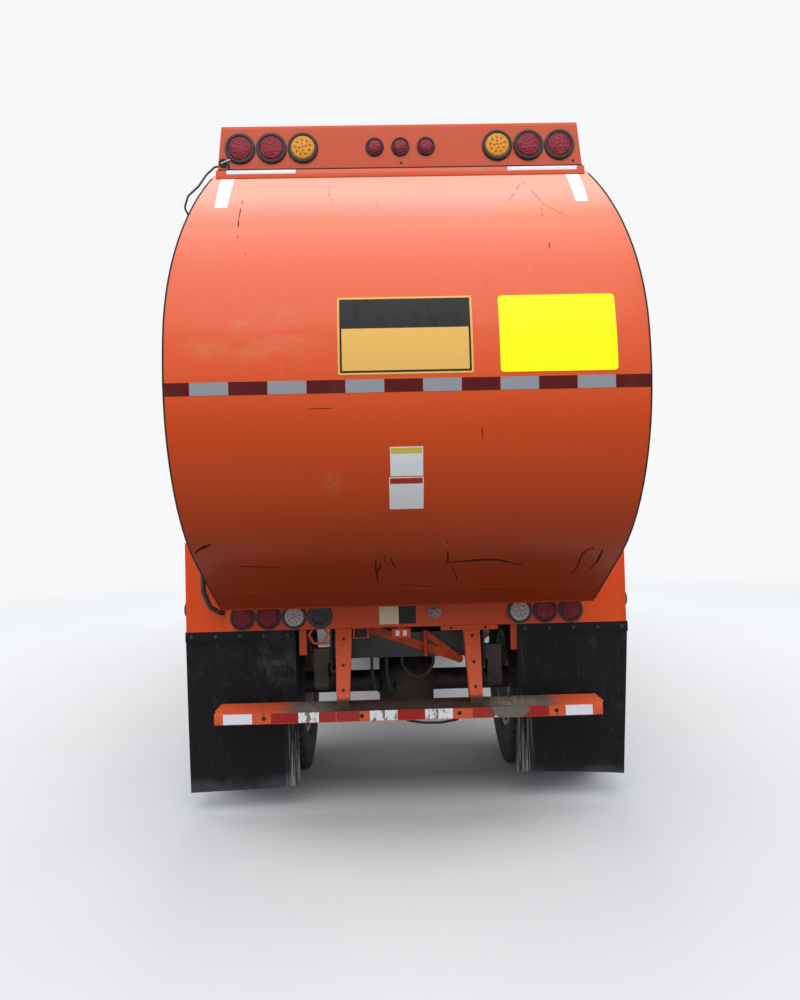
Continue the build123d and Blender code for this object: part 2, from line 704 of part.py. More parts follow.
sill_half = 392
sill_width = 76
y_floor_rear = y_body_rear
y_sill_front = y_arm - rail_box_width / 2 - 60
cross_sills = 9
with BuildPart() as body_floor:
    block(-body_half, body_half, y_floor_rear, y_hopper_front, floor_z, floor_z + floor_plate)
    for side in (-1, 1):
        block(side * (sill_half - sill_width / 2), side * (sill_half + sill_width / 2), y_floor_rear, y_sill_front,
              rail_top + seat, floor_z)
        block(side * (sill_half - sill_width / 2), side * (sill_half + sill_width / 2),
              y_arm + rail_box_width / 2 + 60, y_hopper_front, rail_top + seat, floor_z)
    sill_pitch = (y_sill_front - y_floor_rear - 200) / (cross_sills - 1)
    for i in range(cross_sills):
        y = y_floor_rear + 100 + i * sill_pitch
        if abs(y - y_rear_axle) > tyre_radius + 40:
            block(-body_half, body_half, y - 25, y + 25, floor_z - 70, floor_z)
save(body_floor, "body_floor")

rear_lamp_lift = 72
rear_lamp_z = rail_top + rear_lamp_lift
rear_lamp_x = (-895, -755, -615, -475, 615, 755, 895)

# Rear frame: bolster across the full width, posts and a header round the tailgate opening
with BuildPart() as rear_frame:
    with BuildSketch(across(y_body_rear)):
        barrel_outline(0, floor_z)
        barrel_outline(90, floor_z - 10, mode=Mode.SUBTRACT)
    extrude(amount=frame_depth)
    block(-lower_half, lower_half, y_bolster, y_bolster + bolster_depth, rail_top + seat, floor_z - seat)
    block(-body_half, body_half, y_bolster, y_bolster + bolster_depth, floor_z - seat, floor_z + 8)
    for side in (-1, 1):
        for offset in (-1, 1):
            centre = side * hinge_x + offset * (hinge_width / 2 + 16)
            block(centre - 10, centre + 10, y_bolster, y_bolster + 70, roof_z - 60, hinge_z + 10)
            rod_along_x(centre - 10, centre + 10, y_bolster - gate_gap, hinge_z, hinge_boss_radius)
        rod_along_x(side * hinge_x - hinge_width, side * hinge_x + hinge_width, y_bolster - gate_gap, hinge_z,
                    hinge_pin_radius)
    for x in rear_lamp_x:
        rod_along_y(x, y_bolster - 5, y_bolster + lamp_seat_depth + 10, rear_lamp_z, lens_radius + 2,
                    mode=Mode.SUBTRACT)
save(rear_frame, "rear_frame")


def round_lamp(x, y_face, z, outer, lens):
    """A grommet and its lens, standing out of a face that looks to the rear."""
    rod_along_y(x, y_face - seat, y_face - seat - lamp_stand, z, outer)
    rod_along_y(x, y_face + lamp_seat_depth, y_face - lens_stand, z, lens)


with BuildPart() as rear_lamps:
    for x in rear_lamp_x:
        round_lamp(x, y_bolster, rear_lamp_z, lamp_radius, lens_radius)
save(rear_lamps, "rear_lamps")

# Lower side boxes over the rear wheels
box_top_z = 1470
with BuildPart() as fender_boxes:
    for side in (-1, 1):
        with BuildSketch(across(y_box_front)):
            with BuildLine():
                Polyline((side * (body_half + seat), rail_top + 10), (side * lower_half, rail_top + 10),
                         (side * lower_half, box_top_z - 60), (side * (lower_half - 60), box_top_z),
                         (side * (body_half + seat), box_top_z), close=True)
            make_face()
    extrude(amount=y_box_front - y_bolster - bolster_depth)
    for side in (-1, 1):
        block(side * (body_half + seat), side * lower_half, y_bolster, y_bolster + bolster_depth, floor_z, box_top_z)
        rod_along_x(side * 900, side * (lower_half + 5), y_rear_axle, tyre_radius, tyre_radius + 75, mode=Mode.SUBTRACT)
save(fender_boxes, "fender_boxes")

# Hopper: the barrel section goes on forward with an open top and a low kerb-side wall
hopper_left_z = 2950
hopper_right_z = 2350
hopper_rim = 60
hopper_rim_height = 22
with BuildPart() as hopper_band:
    with BuildSketch(across(y_hopper_front)):
        barrel_outline(-hopper_rim_height, floor_z)
        barrel_outline(wall, floor_z - 10, mode=Mode.SUBTRACT)
    extrude(amount=y_hopper_front - y_body_front - moving_gap)
    with BuildSketch(across(y_hopper_front + hopper_rim_height)):
        barrel_outline(-hopper_rim_height, floor_z)
    extrude(amount=hopper_rim_height)
    with BuildSketch(across(y_hopper_front + hopper_rim_height + 5)):
        with BuildLine():
            Polyline((-lower_half, hopper_left_z - hopper_rim), (-700, hopper_left_z - hopper_rim),
                     (300, hopper_right_z - hopper_rim), (lower_half, hopper_right_z - hopper_rim),
                     (lower_half, hopper_right_z), (300, hopper_right_z), (-700, hopper_left_z),
                     (-lower_half, hopper_left_z), close=True)
        make_face()
    extrude(amount=y_hopper_front - y_body_front + hopper_rim_height + 10, mode=Mode.INTERSECT)
with BuildPart() as hopper:
    with BuildSketch(across(y_hopper_front)):
        barrel_outline(0, floor_z + floor_plate)
    extrude(amount=y_hopper_front - y_body_front)
    with BuildSketch(across(y_hopper_front - wall)):
        barrel_outline(wall, floor_z)
    extrude(amount=y_hopper_front - wall - y_body_front, mode=Mode.SUBTRACT)
    with BuildSketch(across(y_hopper_front + 5)):
        with BuildLine():
            Polyline((-lower_half, hopper_left_z), (-700, hopper_left_z), (300, hopper_right_z),
                     (lower_half, hopper_right_z), (lower_half, roof_z + 80), (-lower_half, roof_z + 80), close=True)
        make_face()
    extrude(amount=y_hopper_front - y_body_front + 10, mode=Mode.SUBTRACT)
    add(hopper_band.part)
save(hopper, "hopper")

packer_travel = 1050
packer_gap = 12
packer_top = 1950
y_packer_front = y_hopper_front - wall - packer_gap
with BuildPart() as packer_blade:
    with BuildSketch(beside(-(body_half - wall - packer_gap))):
        with BuildLine():
            Polyline((y_packer_front, floor_z + floor_plate + moving_gap), (y_packer_front, packer_top),
                     (y_packer_front - 160, packer_top))
            ThreePointArc((y_packer_front - 160, packer_top), (y_packer_front - 190, packer_top - 420),
                          (y_packer_front - 320, floor_z + floor_plate + moving_gap))
            Line((y_packer_front - 320, floor_z + floor_plate + moving_gap),
                 (y_packer_front, floor_z + floor_plate + moving_gap))
        make_face()
    extrude(amount=2 * (body_half - wall - packer_gap))
    for side in (-1, 1):
        block(side * 500, side * 600, y_packer_front - 300, y_packer_front - 20, floor_z + floor_plate + seat,
              floor_z + floor_plate + moving_gap)
save(packer_blade, "packer_blade")

# Rear bumper: a channel laid flat with cut corners, on two struts
y_bumper_rear = y_bolster - bumper_rear_reach
y_bumper_front = y_bumper_rear + bumper_depth
with BuildPart() as struts:
    with BuildSketch(beside(-lower_half)):
        with BuildLine():
            Polyline((y_bolster + 15, rail_top), (y_bolster + 90, rail_top), (y_bumper_rear + 150, bumper_top - 2),
                     (y_bumper_rear + 75, bumper_top - 2), close=True)
        make_face()
    extrude(amount=2 * lower_half)
    with BuildSketch(across(y_bolster + 200)):
        for side in (-1, 1):
            with BuildLine():
                Polyline((side * (strut_x - strut_top_width / 2), rail_top + 5),
                         (side * (strut_x + strut_top_width / 2), rail_top + 5),
                         (side * (strut_x + strut_foot_width / 2), bumper_top - 5),
                         (side * (strut_x - strut_foot_width / 2), bumper_top - 5), close=True)
            make_face()
    extrude(amount=600, mode=Mode.INTERSECT)
with BuildPart() as rear_bumper:
    with BuildSketch(level(bumper_top - bumper_face)):
        with BuildLine():
            Polyline((-bumper_half, y_bumper_front), (-bumper_half, y_bumper_rear + 60), (-bumper_half + 60, y_bumper_rear),
                     (bumper_half - 60, y_bumper_rear), (bumper_half, y_bumper_rear + 60),
                     (bumper_half, y_bumper_front), close=True)
        make_face()
    extrude(amount=bumper_face)
    block(-bumper_half - 5, bumper_half + 5, y_bumper_rear + bumper_web, y_bumper_front - bumper_web,
          bumper_top - bumper_face - 5, bumper_top - bumper_web, mode=Mode.SUBTRACT)
    add(struts.part)
    for x in (-750, -250, 250, 750):
        rod_along_y(x, y_bumper_rear - 5, y_bumper_rear + 30, bumper_top - bumper_face / 2, 10, mode=Mode.SUBTRACT)
save(rear_bumper, "rear_bumper")

y_flap = y_bolster + 12
with BuildPart() as mud_flaps:
    for side in (-1, 1):
        block(side * (flap_outer - flap_width), side * flap_outer, y_flap, y_flap + flap_thickness, flap_low_z,
              rail_top)
        block(side * (flap_outer - flap_width), side * flap_outer, y_flap - 8, y_flap, rail_top - flap_strip, rail_top)
save(mud_flaps, "mud_flaps")

# Small things below the bolster: tabs, a hexagonal bracket, a tube end, a plate lamp, a brace with its link and pin
first_member_rear = cross_members[0] - member_half
tab_x = (-575, 588)
tab_low_z = 840
brace_from = (-205, 950)
brace_to = (292, 775)
link_from = (104, 925)
brace_width = 48
brace_sheet = 12


def slanted_bar(start, end, width, y, thickness):
    """A flat bar with round ends between two points (x, z) of an upright plane."""
    length = hypot(end[0] - start[0], end[1] - start[1])
    middle = ((start[0] + end[0]) / 2, y, (start[1] + end[1]) / 2)
    heading = ((end[0] - start[0]) / length, 0, (end[1] - start[1]) / length)
    with BuildSketch(Plane(origin=middle, x_dir=heading, z_dir=(0, -1, 0))) as bar:
        SlotCenterToCenter(length, width)
    extrude(bar.sketch, amount=thickness)


with BuildPart() as rear_fittings:
    for x in tab_x:
        block(x - 20, x + 20, y_bolster + 34, y_bolster + 42, tab_low_z, rail_top)
    with BuildSketch(across(y_bolster + 40)):
        with Locations((-488, rail_top - 36)):
            RegularPolygon(58, 6)
            RegularPolygon(46, 6, mode=Mode.SUBTRACT)
        with Locations((-488, rail_top + 30)):
            Rectangle(140, 60, mode=Mode.SUBTRACT)
    extrude(amount=14)
    block(-256 - 42, -256 + 42, y_bolster + 25, first_member_rear + 40, member_top + seat, rail_top - seat)
    block(-256 - 34, -256 + 34, y_bolster + 20, first_member_rear + 35, member_top + 8, rail_top - 8, mode=Mode.SUBTRACT)
    block(-35 - 52, -35 + 52, y_bolster + 20, y_bolster + 60, rail_top - 62, rail_top - 12)
    block(-35 - 20, -35 + 20, y_bolster + 30, y_bolster + 50, rail_top - 14, rail_top)
    block(180, 492, y_bolster - 7, y_bolster - 1, rail_top - 24, rail_top)
    block(180, 492, y_bolster - 7, y_bolster + 11, rail_top - 6, rail_top)
    slanted_bar(brace_from, brace_to, brace_width, first_member_rear - seat, brace_sheet)
    slanted_bar(link_from, brace_to, brace_width * 0.7, first_member_rear - seat - brace_sheet, brace_sheet)
    rod_along_z(link_from[0], first_member_rear - brace_sheet * 2 - 6, link_from[1] - 130, link_from[1] + 15, 13)
    rod_along_y(brace_to[0], first_member_rear - seat, first_member_rear - brace_sheet * 2 - 20, brace_to[1], 22)
    rod_along_y(148, y_bolster - seat, y_bolster - 24, rear_lamp_z + 10, 37)
    for turn in (0, 90):
        with Locations(Location((148, y_bolster - 28, rear_lamp_z + 10), (0, 45 + turn, 0))):
            Box(58, 12, 20)
save(rear_fittings, "rear_fittings")


# Tailgate: a bulged sheet rolled about a cross axis, between barrel-edged side plates
def gate_point(reach, z):
    return (y_bolster - reach, z)


def gate_profile(inset):
    """Side outline of the tailgate, behind its front edge."""
    up, low = upper_radius - inset, lower_radius - inset
    up_centre = tailgate_reach - upper_radius
    low_centre = tailgate_reach - lower_radius
    top_angle = asin((eave_z - bulge_z) / upper_radius)
    sweep = radians(lower_sweep)
    foot = (low_centre + low * cos(sweep), bulge_z - low * sin(sweep))
    run = (foot[0] - lip_reach) if inset == 0 else (foot[0] - lip_reach + inset)
    lip = (foot[0] - run, foot[1] - run * cos(sweep) / sin(sweep))
    top = (up_centre + up * cos(top_angle), bulge_z + up * sin(top_angle))
    front = gate_gap if inset == 0 else -20
    roof = roof_z - inset
    with BuildLine() as outline:
        Polyline(gate_point(front, roof), gate_point(top[0] - 30, roof), gate_point(*top))
        ThreePointArc(gate_point(*top),
                      gate_point(up_centre + up * cos(top_angle / 2), bulge_z + up * sin(top_angle / 2)),
                      gate_point(tailgate_reach - inset, bulge_z))
        ThreePointArc(gate_point(tailgate_reach - inset, bulge_z),
                      gate_point(low_centre + low * cos(sweep / 2), bulge_z - low * sin(sweep / 2)),
                      gate_point(*foot))
        Polyline(gate_point(*foot), gate_point(*lip), gate_point(front, lip[1]), gate_point(front, roof))
    make_face(outline.edges())


with BuildPart() as gate_outer:
    with BuildSketch(beside(-body_half)):
        gate_profile(0)
    extrude(amount=2 * body_half)
    with BuildSketch(across(y_bolster + 50)):
        barrel_outline(0, floor_z - 50)
    extrude(amount=tailgate_reach + 100, mode=Mode.INTERSECT)
with BuildPart() as gate_inner:
    with BuildSketch(beside(-(body_half - gate_sheet))):
        gate_profile(gate_sheet)
    extrude(amount=2 * (body_half - gate_sheet))
    with BuildSketch(across(y_bolster + 60)):
        barrel_outline(gate_sheet, floor_z - 50)
    extrude(amount=tailgate_reach + 100, mode=Mode.INTERSECT)
with BuildPart() as tailgate:
    add(gate_outer.part)
    add(gate_inner.part, mode=Mode.SUBTRACT)
    for side in (-1, 1):
        block(side * hinge_x - hinge_width / 2, side * hinge_x + hinge_width / 2, y_bolster - 120,
              y_bolster - gate_gap, roof_z - 20, hinge_z - 5)
        rod_along_x(side * hinge_x - hinge_width / 2, side * hinge_x + hinge_width / 2, y_bolster - gate_gap, hinge_z,
                    hinge_boss_radius)
        rod_along_x(side * hinge_x - hinge_width / 2 - 1, side * hinge_x + hinge_width / 2 + 1,
                    y_bolster - gate_gap, hinge_z, hinge_pin_radius + running, mode=Mode.SUBTRACT)
        rod_along_x(side * (body_half - 40), side * (cylinder_x - barrel_radius + 5),
                    y_bolster - cylinder_eye_reach, cylinder_eye_z, eye_radius)
save(tailgate, "tailgate")

# Light bar standing on the tailgate's roof
y_bar_face = y_bolster - bar_reach
bar_foot_z = roof_z + seat
lamp_bar_z = bar_foot_z + 98
bar_lamp_x = (-575 - 140, -575, -575 + 140, 575 - 140, 575, 575 + 140)
with BuildPart() as light_bar:
    with BuildSketch(across(y_bar_face + bar_depth)):
        with BuildLine():
            Polyline((-bar_half_low, bar_foot_z), (bar_half_low, bar_foot_z), (bar_half_high, bar_foot_z + bar_height),
                     (-bar_half_high, bar_foot_z + bar_height), close=True)
        make_face()
    extrude(amount=bar_depth)
    top_rear = light_bar.edges().filter_by(Axis.X).group_by(Axis.Z)[-1].sort_by(Axis.Y)[0]
    fillet(top_rear, 22)
    block(-bar_half_high + bar_sheet, bar_half_high - bar_sheet, y_bar_face + bar_sheet, y_bar_face + bar_depth + 5,
          bar_foot_z + bar_sheet, bar_foot_z + bar_height - bar_sheet, mode=Mode.SUBTRACT)
    for x in bar_lamp_x:
        rod_along_y(x, y_bar_face - 5, y_bar_face + lamp_seat_depth + 10, lamp_bar_z, lens_radius + 2, mode=Mode.SUBTRACT)
    for x in (-small_lamp_pitch, 0, small_lamp_pitch):
        rod_along_y(x, y_bar_face - 5, y_bar_face + lamp_seat_depth + 10, lamp_bar_z, small_lens_radius + 1,
                    mode=Mode.SUBTRACT)
save(light_bar, "light_bar")

with BuildPart() as gate_lamps:
    for x in bar_lamp_x:
        round_lamp(x, y_bar_face, lamp_bar_z, lamp_radius, lens_radius)
    for x in (-small_lamp_pitch, 0, small_lamp_pitch):
        round_lamp(x, y_bar_face, lamp_bar_z, small_lamp_radius, small_lens_radius)
save(gate_lamps, "gate_lamps")


def lead(points, radius, bends):
    """A tube along straight runs joined by arcs."""
    with BuildLine() as route:
        FilletPolyline(*points, radius=bends)
    start = route.line @ 0
    with BuildSketch(Plane(origin=start, z_dir=route.line % 0)) as section:
        Circle(radius)
    sweep(section.sketch, path=route.line)


loom_radius = 13
loom_x = -(body_half + loom_radius + seat)
hose_radius = 9
small_hose_radius = 6.3
y_hose = first_member_rear + member_half
with BuildPart() as chassis_leads:
    lead([(-1000, y_bolster - seat, 1090), (-1000, y_bolster - 44, 1090), (-1052, y_bolster - 74, 1130),
          (-1086, y_bolster - 70, 1212), (-1088, y_bolster - 62, 1320), (-1064, y_bolster - 40, 1432),
          (-1010, y_bolster + 10, 1540), (loom_x, y_bolster + 50, 1650), (loom_x, y_bolster + 58, 2140)],
         loom_radius, [32, 40, 60, 80, 90, 90, 90])
    rod_along_z(loom_x, y_bolster + 58, 2140, 2200, loom_radius)
    for x, axle_reach in ((-205, 160), (-120, 196)):
        lead([(x, y_hose, member_foot - seat), (x, y_hose, 700), (x + 16, y_hose + 24, 600),
              (x + 44, y_hose + 120, 552), (x + 44, y_rear_axle - axle_reach, 552)], hose_radius, [90, 70, 60])
    lead([(-30, y_hose, member_foot - seat), (-30, y_hose, 735), (8, y_hose - 22, 684),
          (62, y_hose - 28, 664), (116, y_hose - 22, 690), (150, y_hose, 740),
          (150, y_hose, member_foot - seat)], hose_radius, [30, 45, 45, 45, 30])
    lead([(-60, y_bumper_rear + 60, bumper_top - bumper_web - seat), (-60, y_bumper_rear + 60, 560),
          (-10, y_bumper_rear + 66, 524), (70, y_bumper_rear + 68, 510), (160, y_bumper_rear + 68, 508),
          (240, y_bumper_rear + 66, 522), (290, y_bumper_rear + 60, 560),
          (290, y_bumper_rear + 60, bumper_top - bumper_web - seat)], small_hose_radius,
         [14, 30, 60, 60, 30, 14])
save(chassis_leads, "chassis_leads")

lead_radius = 4.5
with BuildPart() as lamp_lead:
    lead([(-810.8, y_bolster - 660, 3205), (-846, y_bolster - 660, 3205), (-880, y_bolster - 680, 3160),
          (-908, y_bolster - 716, 3090), (-946, y_bolster - 752, 3030), (-960, y_bolster - 762, 2972),
          (-930, y_bolster - 736, 2916), (-906.2, y_bolster - 680, 2882), (-908.8, y_bolster - 560, 2870),
          (-920, y_bolster - 300, 2862), (-906.4, y_bolster - 300, 2862)],
         lead_radius, [18, 28, 34, 34, 30, 30, 34, 60, 6])
save(lamp_lead, "lamp_lead")

# Tailgate cylinders
eye_y = y_bolster - cylinder_eye_reach
cylinder_length = hypot(cylinder_base_y - eye_y, cylinder_eye_z - cylinder_base_z)
cylinder_dir = ((eye_y - cylinder_base_y) / cylinder_length, (cylinder_eye_z - cylinder_base_z) / cylinder_length)
barrel_length = cylinder_length - 260


def along_cylinder(side, distance):
    """A plane square to the cylinder at a distance from its base pin."""
    return Plane(origin=(side * cylinder_x, cylinder_base_y + cylinder_dir[0] * distance,
                         cylinder_base_z + cylinder_dir[1] * distance),
                 x_dir=(1, 0, 0), z_dir=(0, cylinder_dir[0], cylinder_dir[1]))


for name, side in (("left", -1), ("right", 1)):
    with BuildPart() as barrel:
        with BuildSketch(along_cylinder(side, 30)):
            Circle(barrel_radius)
        extrude(amount=barrel_length - 30)
        rod_along_x(side * (cylinder_x - 30), side * (cylinder_x + 30), cylinder_base_y, cylinder_base_z, eye_radius)
        rod_along_x(side * (cylinder_x - 31), side * (cylinder_x + 31), cylinder_base_y, cylinder_base_z,
                    pin_radius + running, mode=Mode.SUBTRACT)
        with BuildSketch(along_cylinder(side, 60)):
            Circle(rod_radius + running)
        extrude(amount=barrel_length, mode=Mode.SUBTRACT)
    save(barrel, f"cylinder_barrel_{name}")
    with BuildPart() as rod:
        with BuildSketch(along_cylinder(side, 70)):
            Circle(rod_radius)
        extrude(amount=cylinder_length - 70)
        rod_along_x(side * (cylinder_x - 35), side * (cylinder_x + 35), eye_y, cylinder_eye_z, eye_radius)
    save(rod, f"cylinder_rod_{name}")

# Side arm: box rail across the frame, slide with its mast, lift arm with two fingers
y_rail_low, y_rail_high = y_arm - rail_box_width / 2, y_arm + rail_box_width / 2
rail_box_z = rail_top + 5
slide_gap = 6
slide_inset = rail_box_wall + slide_gap
with BuildPart() as arm_rail:
    block(-rail_box_left, rail_box_right, y_rail_low, y_rail_high, rail_box_z, rail_box_z + rail_box_height)
    block(-rail_box_left + rail_box_wall, rail_box_right + 5, y_rail_low + rail_box_wall, y_rail_high - rail_box_wall,
          rail_box_z + rail_box_wall, rail_box_z + rail_box_height - rail_box_wall, mode=Mode.SUBTRACT)
    for side in (-1, 1):
        block(side * (rail_half - rail_flange), side * rail_half, y_rail_low - 40, y_rail_high + 40,
              rail_top + seat, rail_box_z + 2)
    for low, high in ((rail_box_z + rail_box_wall - 2, rail_box_z + slide_inset - seat),
                      (rail_box_z + rail_box_height - slide_inset + seat, rail_box_z + rail_box_height - rail_box_wall + 2)):
        block(rail_box_right - 80, rail_box_right - 10, y_arm - 40, y_arm + 40, low, high)
save(arm_rail, "arm_rail")

with BuildPart() as arm_slide:
    block(-rail_box_left + 40, mast_x, y_rail_low + slide_inset, y_rail_high - slide_inset,
          rail_box_z + slide_inset, rail_box_z + rail_box_height - slide_inset)
    block(mast_x - mast_depth / 2, mast_x + mast_depth / 2, y_arm - mast_width / 2, y_arm + mast_width / 2,
          rail_box_z - 40, arm_pivot_z)
    rod_along_y(arm_pivot_x, y_arm - mast_width / 2 - 30, y_arm + mast_width / 2 + 30, arm_pivot_z, drum_radius_arm)
    rod_along_y(arm_pivot_x, y_arm - mast_width / 2 - 75, y_arm + mast_width / 2 + 75, arm_pivot_z, 24)
    for low, high in ((rail_box_z + rail_box_wall + seat, rail_box_z + slide_inset + 2),
                      (rail_box_z + rail_box_height - slide_inset - 2, rail_box_z + rail_box_height - rail_box_wall - seat)):
        block(-rail_box_left + 45, -rail_box_left + 115, y_arm - 40, y_arm + 40, low, high)
save(arm_slide, "arm_slide")

plate_y = mast_width / 2 + 30 + arm_plate_gap
with BuildPart() as lift_arm:
    for end in (-1, 1):
        with BuildSketch(across(y_arm + end * (plate_y + arm_plate / 2) + arm_plate / 2)):
            with BuildLine():
                Polyline((arm_pivot_x - 70, arm_pivot_z), (arm_pivot_x + 20, arm_pivot_z - 260),
                         (arm_beam_in, arm_pivot_z - 420), (arm_beam_in, arm_foot_z + 60),
                         (arm_beam_in + arm_beam_depth, arm_foot_z + 60),
                         (arm_beam_in + arm_beam_depth + 30, arm_pivot_z - 300), (arm_pivot_x + 70, arm_pivot_z),
                         close=True)
            make_face()
            with Locations((arm_pivot_x, arm_pivot_z)):
                Circle(70)
                Circle(24 + running, mode=Mode.SUBTRACT)
    extrude(amount=arm_plate)
    block(arm_beam_in, arm_beam_in + arm_beam_depth, y_arm - plate_y, y_arm + plate_y, arm_foot_z, arm_pivot_z - 420)
    block(arm_beam_in, arm_beam_in + 50, y_arm - finger_pivot_y - 40, y_arm + finger_pivot_y + 40,
          finger_z - 30, finger_z + finger_height + 30)
    for end in (-1, 1):
        y = y_arm + end * finger_pivot_y
        for z in (finger_z - 30, finger_z + finger_height + 6):
            block(arm_beam_in + 50, finger_pivot_x, y - 34, y + 34, z, z + 24)
            rod_along_z(finger_pivot_x, y, z, z + 24, 34)
        block(arm_beam_in, finger_pivot_x + 40, y - 40, y + 40, finger_z - 6, finger_z + finger_height + 6,
              mode=Mode.SUBTRACT)
        rod_along_z(finger_pivot_x, y, finger_z - 10, finger_z + finger_height + 10, finger_pin_radius)
        block(arm_beam_in, arm_beam_in + 20, y - 40, y + 40, finger_z - 6, finger_z + finger_height + 6)
save(lift_arm, "lift_arm")

for name, end in (("front", 1), ("rear", -1)):
    y = y_arm + end * finger_pivot_y
    with BuildPart() as finger:
        with BuildSketch(level(finger_z)):
            with Locations((finger_pivot_x, y)):
                Circle(28)
            with BuildLine():
                ThreePointArc((finger_pivot_x - 6, y), (finger_pivot_x - 28, y + end * finger_reach * 0.55),
                              (finger_pivot_x + 26, y + end * finger_reach))
                Line((finger_pivot_x + 26, y + end * finger_reach), (finger_pivot_x + 26 + finger_sheet, y + end * finger_reach))
                ThreePointArc((finger_pivot_x + 26 + finger_sheet, y + end * finger_reach),
                              (finger_pivot_x - 28 + finger_sheet, y + end * finger_reach * 0.55),
                              (finger_pivot_x - 6 + finger_sheet, y))
                Line((finger_pivot_x - 6 + finger_sheet, y), (finger_pivot_x - 6, y))
            make_face()
            with Locations((finger_pivot_x, y)):
                Circle(finger_pin_radius + running, mode=Mode.SUBTRACT)
        extrude(amount=finger_height)
    save(finger, f"finger_{name}")


# Wheels
def tyre_outline(centre):
    """Half-section of a tyre, as distance along the axle and radius."""
    bead_top = bead_radius + flange_lip + seat
    bulge = (bead_radius + tyre_radius) / 2
    half = ((bead_width / 2, bead_radius + seat), (bead_width / 2, bead_top), (tyre_width / 2, bulge),
            (tread_width / 2 + 6, tyre_radius - 34), (tread_width / 2 - 8, tyre_radius))
    with BuildLine() as outline:
        Polyline([(centre + reach, radius) for reach, radius in half]
                 + [(centre - reach, radius) for reach, radius in reversed(half)], close=True)
    make_face(outline.edges())


def rim_ring(centre):
    half = bead_width / 2 + seat
    with BuildLine() as outline:
        Polyline((centre - half - rim_flange, bead_radius - rim_wall), (centre + half + rim_flange, bead_radius - rim_wall),
                 (centre + half + rim_flange, bead_radius + flange_lip), (centre + half, bead_radius + flange_lip),
                 (centre + half, bead_radius), (centre - half, bead_radius), (centre - half, bead_radius + flange_lip),
                 (centre - half - rim_flange, bead_radius + flange_lip), close=True)
    make_face(outline.edges())


def disc(x0, x1, outer, inner):
    with Locations(((x0 + x1) / 2, (outer + inner) / 2)):
        Rectangle(abs(x1 - x0), outer - inner)


def axle_plane(y):
    """Sketch plane holding a wheel's axis: local x is across the truck, local y is the radius."""
    return Plane(origin=(0, y, tyre_radius), x_dir=(1, 0, 0), z_dir=(0, -1, 0))


hand_holes = 10
disc_set = 130
for name, side in (("left", -1), ("right", 1)):
    spin_front = Axis((0, y_front_axle, tyre_radius), (1, 0, 0))
    spin_rear = Axis((0, y_rear_axle, tyre_radius), (1, 0, 0))
    with BuildPart() as tyre:
        with BuildSketch(axle_plane(y_front_axle)):
            tyre_outline(side * front_wheel_x)
        revolve(axis=spin_front)
    save(tyre, f"tyre_front_{name}")
    with BuildPart() as rim:
        face_x = side * (front_wheel_x + disc_set - 70)
        with BuildSketch(axle_plane(y_front_axle)):
            rim_ring(side * front_wheel_x)
            disc(face_x, face_x + side * disc_thickness, bead_radius - rim_wall + 2, hub_radius - 20)
            disc(side * (kingpin_x + 78), face_x + side * 80, hub_radius, spindle_radius + running)
            disc(face_x + side * 60, face_x + side * 80, hub_radius, 0)
        revolve(axis=spin_front)
        with Locations(Location((face_x, y_front_axle, tyre_radius), (0, 90, 0))):
            with PolarLocations(205, hand_holes):
                Cylinder(28, 60, mode=Mode.SUBTRACT)
    save(rim, f"rim_front_{name}")
    with BuildPart() as knuckle:
        block(side * (kingpin_x - 40), side * (kingpin_x + 70), y_front_axle - 60, y_front_axle + 60,
              tyre_radius - 120, tyre_radius + 120)
        block(side * (kingpin_x - 120), side * (kingpin_x + 50), y_front_axle - 75, y_front_axle + 75,
              tyre_radius - 55 - 8, tyre_radius + 55 + 8, mode=Mode.SUBTRACT)
        rod_along_x(side * (kingpin_x + 56), side * (kingpin_x + 70), y_front_axle, tyre_radius, 125)
        rod_along_x(side * (kingpin_x + 60), face_x + side * 50, y_front_axle, tyre_radius, spindle_radius)
        rod_along_z(side * kingpin_x, y_front_axle, tyre_radius - 135, tyre_radius + 135, kingpin_radius + running,
                    mode=Mode.SUBTRACT)
    save(knuckle, f"knuckle_{name}")
    with BuildPart() as tyres:
        with BuildSketch(axle_plane(y_rear_axle)):
            tyre_outline(side * (dual_centre - dual_spacing / 2))
            tyre_outline(side * (dual_centre + dual_spacing / 2))
        revolve(axis=spin_rear)
    save(tyres, f"tyre_rear_{name}")
    with BuildPart() as rims:
        with BuildSketch(axle_plane(y_rear_axle)):
            rim_ring(side * (dual_centre - dual_spacing / 2))
            rim_ring(side * (dual_centre + dual_spacing / 2))
            disc(side * (dual_centre - disc_thickness), side * (dual_centre + disc_thickness),
                 bead_radius - rim_wall + 2, hub_radius - 20)
            disc(side * (dual_centre - 110), side * (dual_centre + 110), bead_radius - rim_wall + 4, bead_radius - rim_wall - 12)
            disc(side * hub_inner_x, side * (dual_centre + 70), hub_radius, spindle_radius + running)
            disc(side * (dual_centre + 70), side * (dual_centre + 190), hub_radius - 10, 0)
            disc(side * (hub_inner_x + 10), side * (dual_centre - 30), drum_radius, drum_radius - 25)
            disc(side * (dual_centre - 60), side * (dual_centre - 30), drum_radius, hub_radius - 10)
        revolve(axis=spin_rear)
        with Locations(Location((side * dual_centre, y_rear_axle, tyre_radius), (0, 90, 0))):
            with PolarLocations(228, hand_holes):
                Cylinder(24, 40, mode=Mode.SUBTRACT)
    save(rims, f"rim_rear_{name}")
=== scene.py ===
from math import asin, cos, exp, pi, radians, sin, sqrt, tan

import bmesh
import bpy
from bpy.props import FloatProperty, FloatVectorProperty, IntProperty, PointerProperty
from bpy.types import Operator, Panel, PropertyGroup
from mathutils import Matrix, Vector, noise


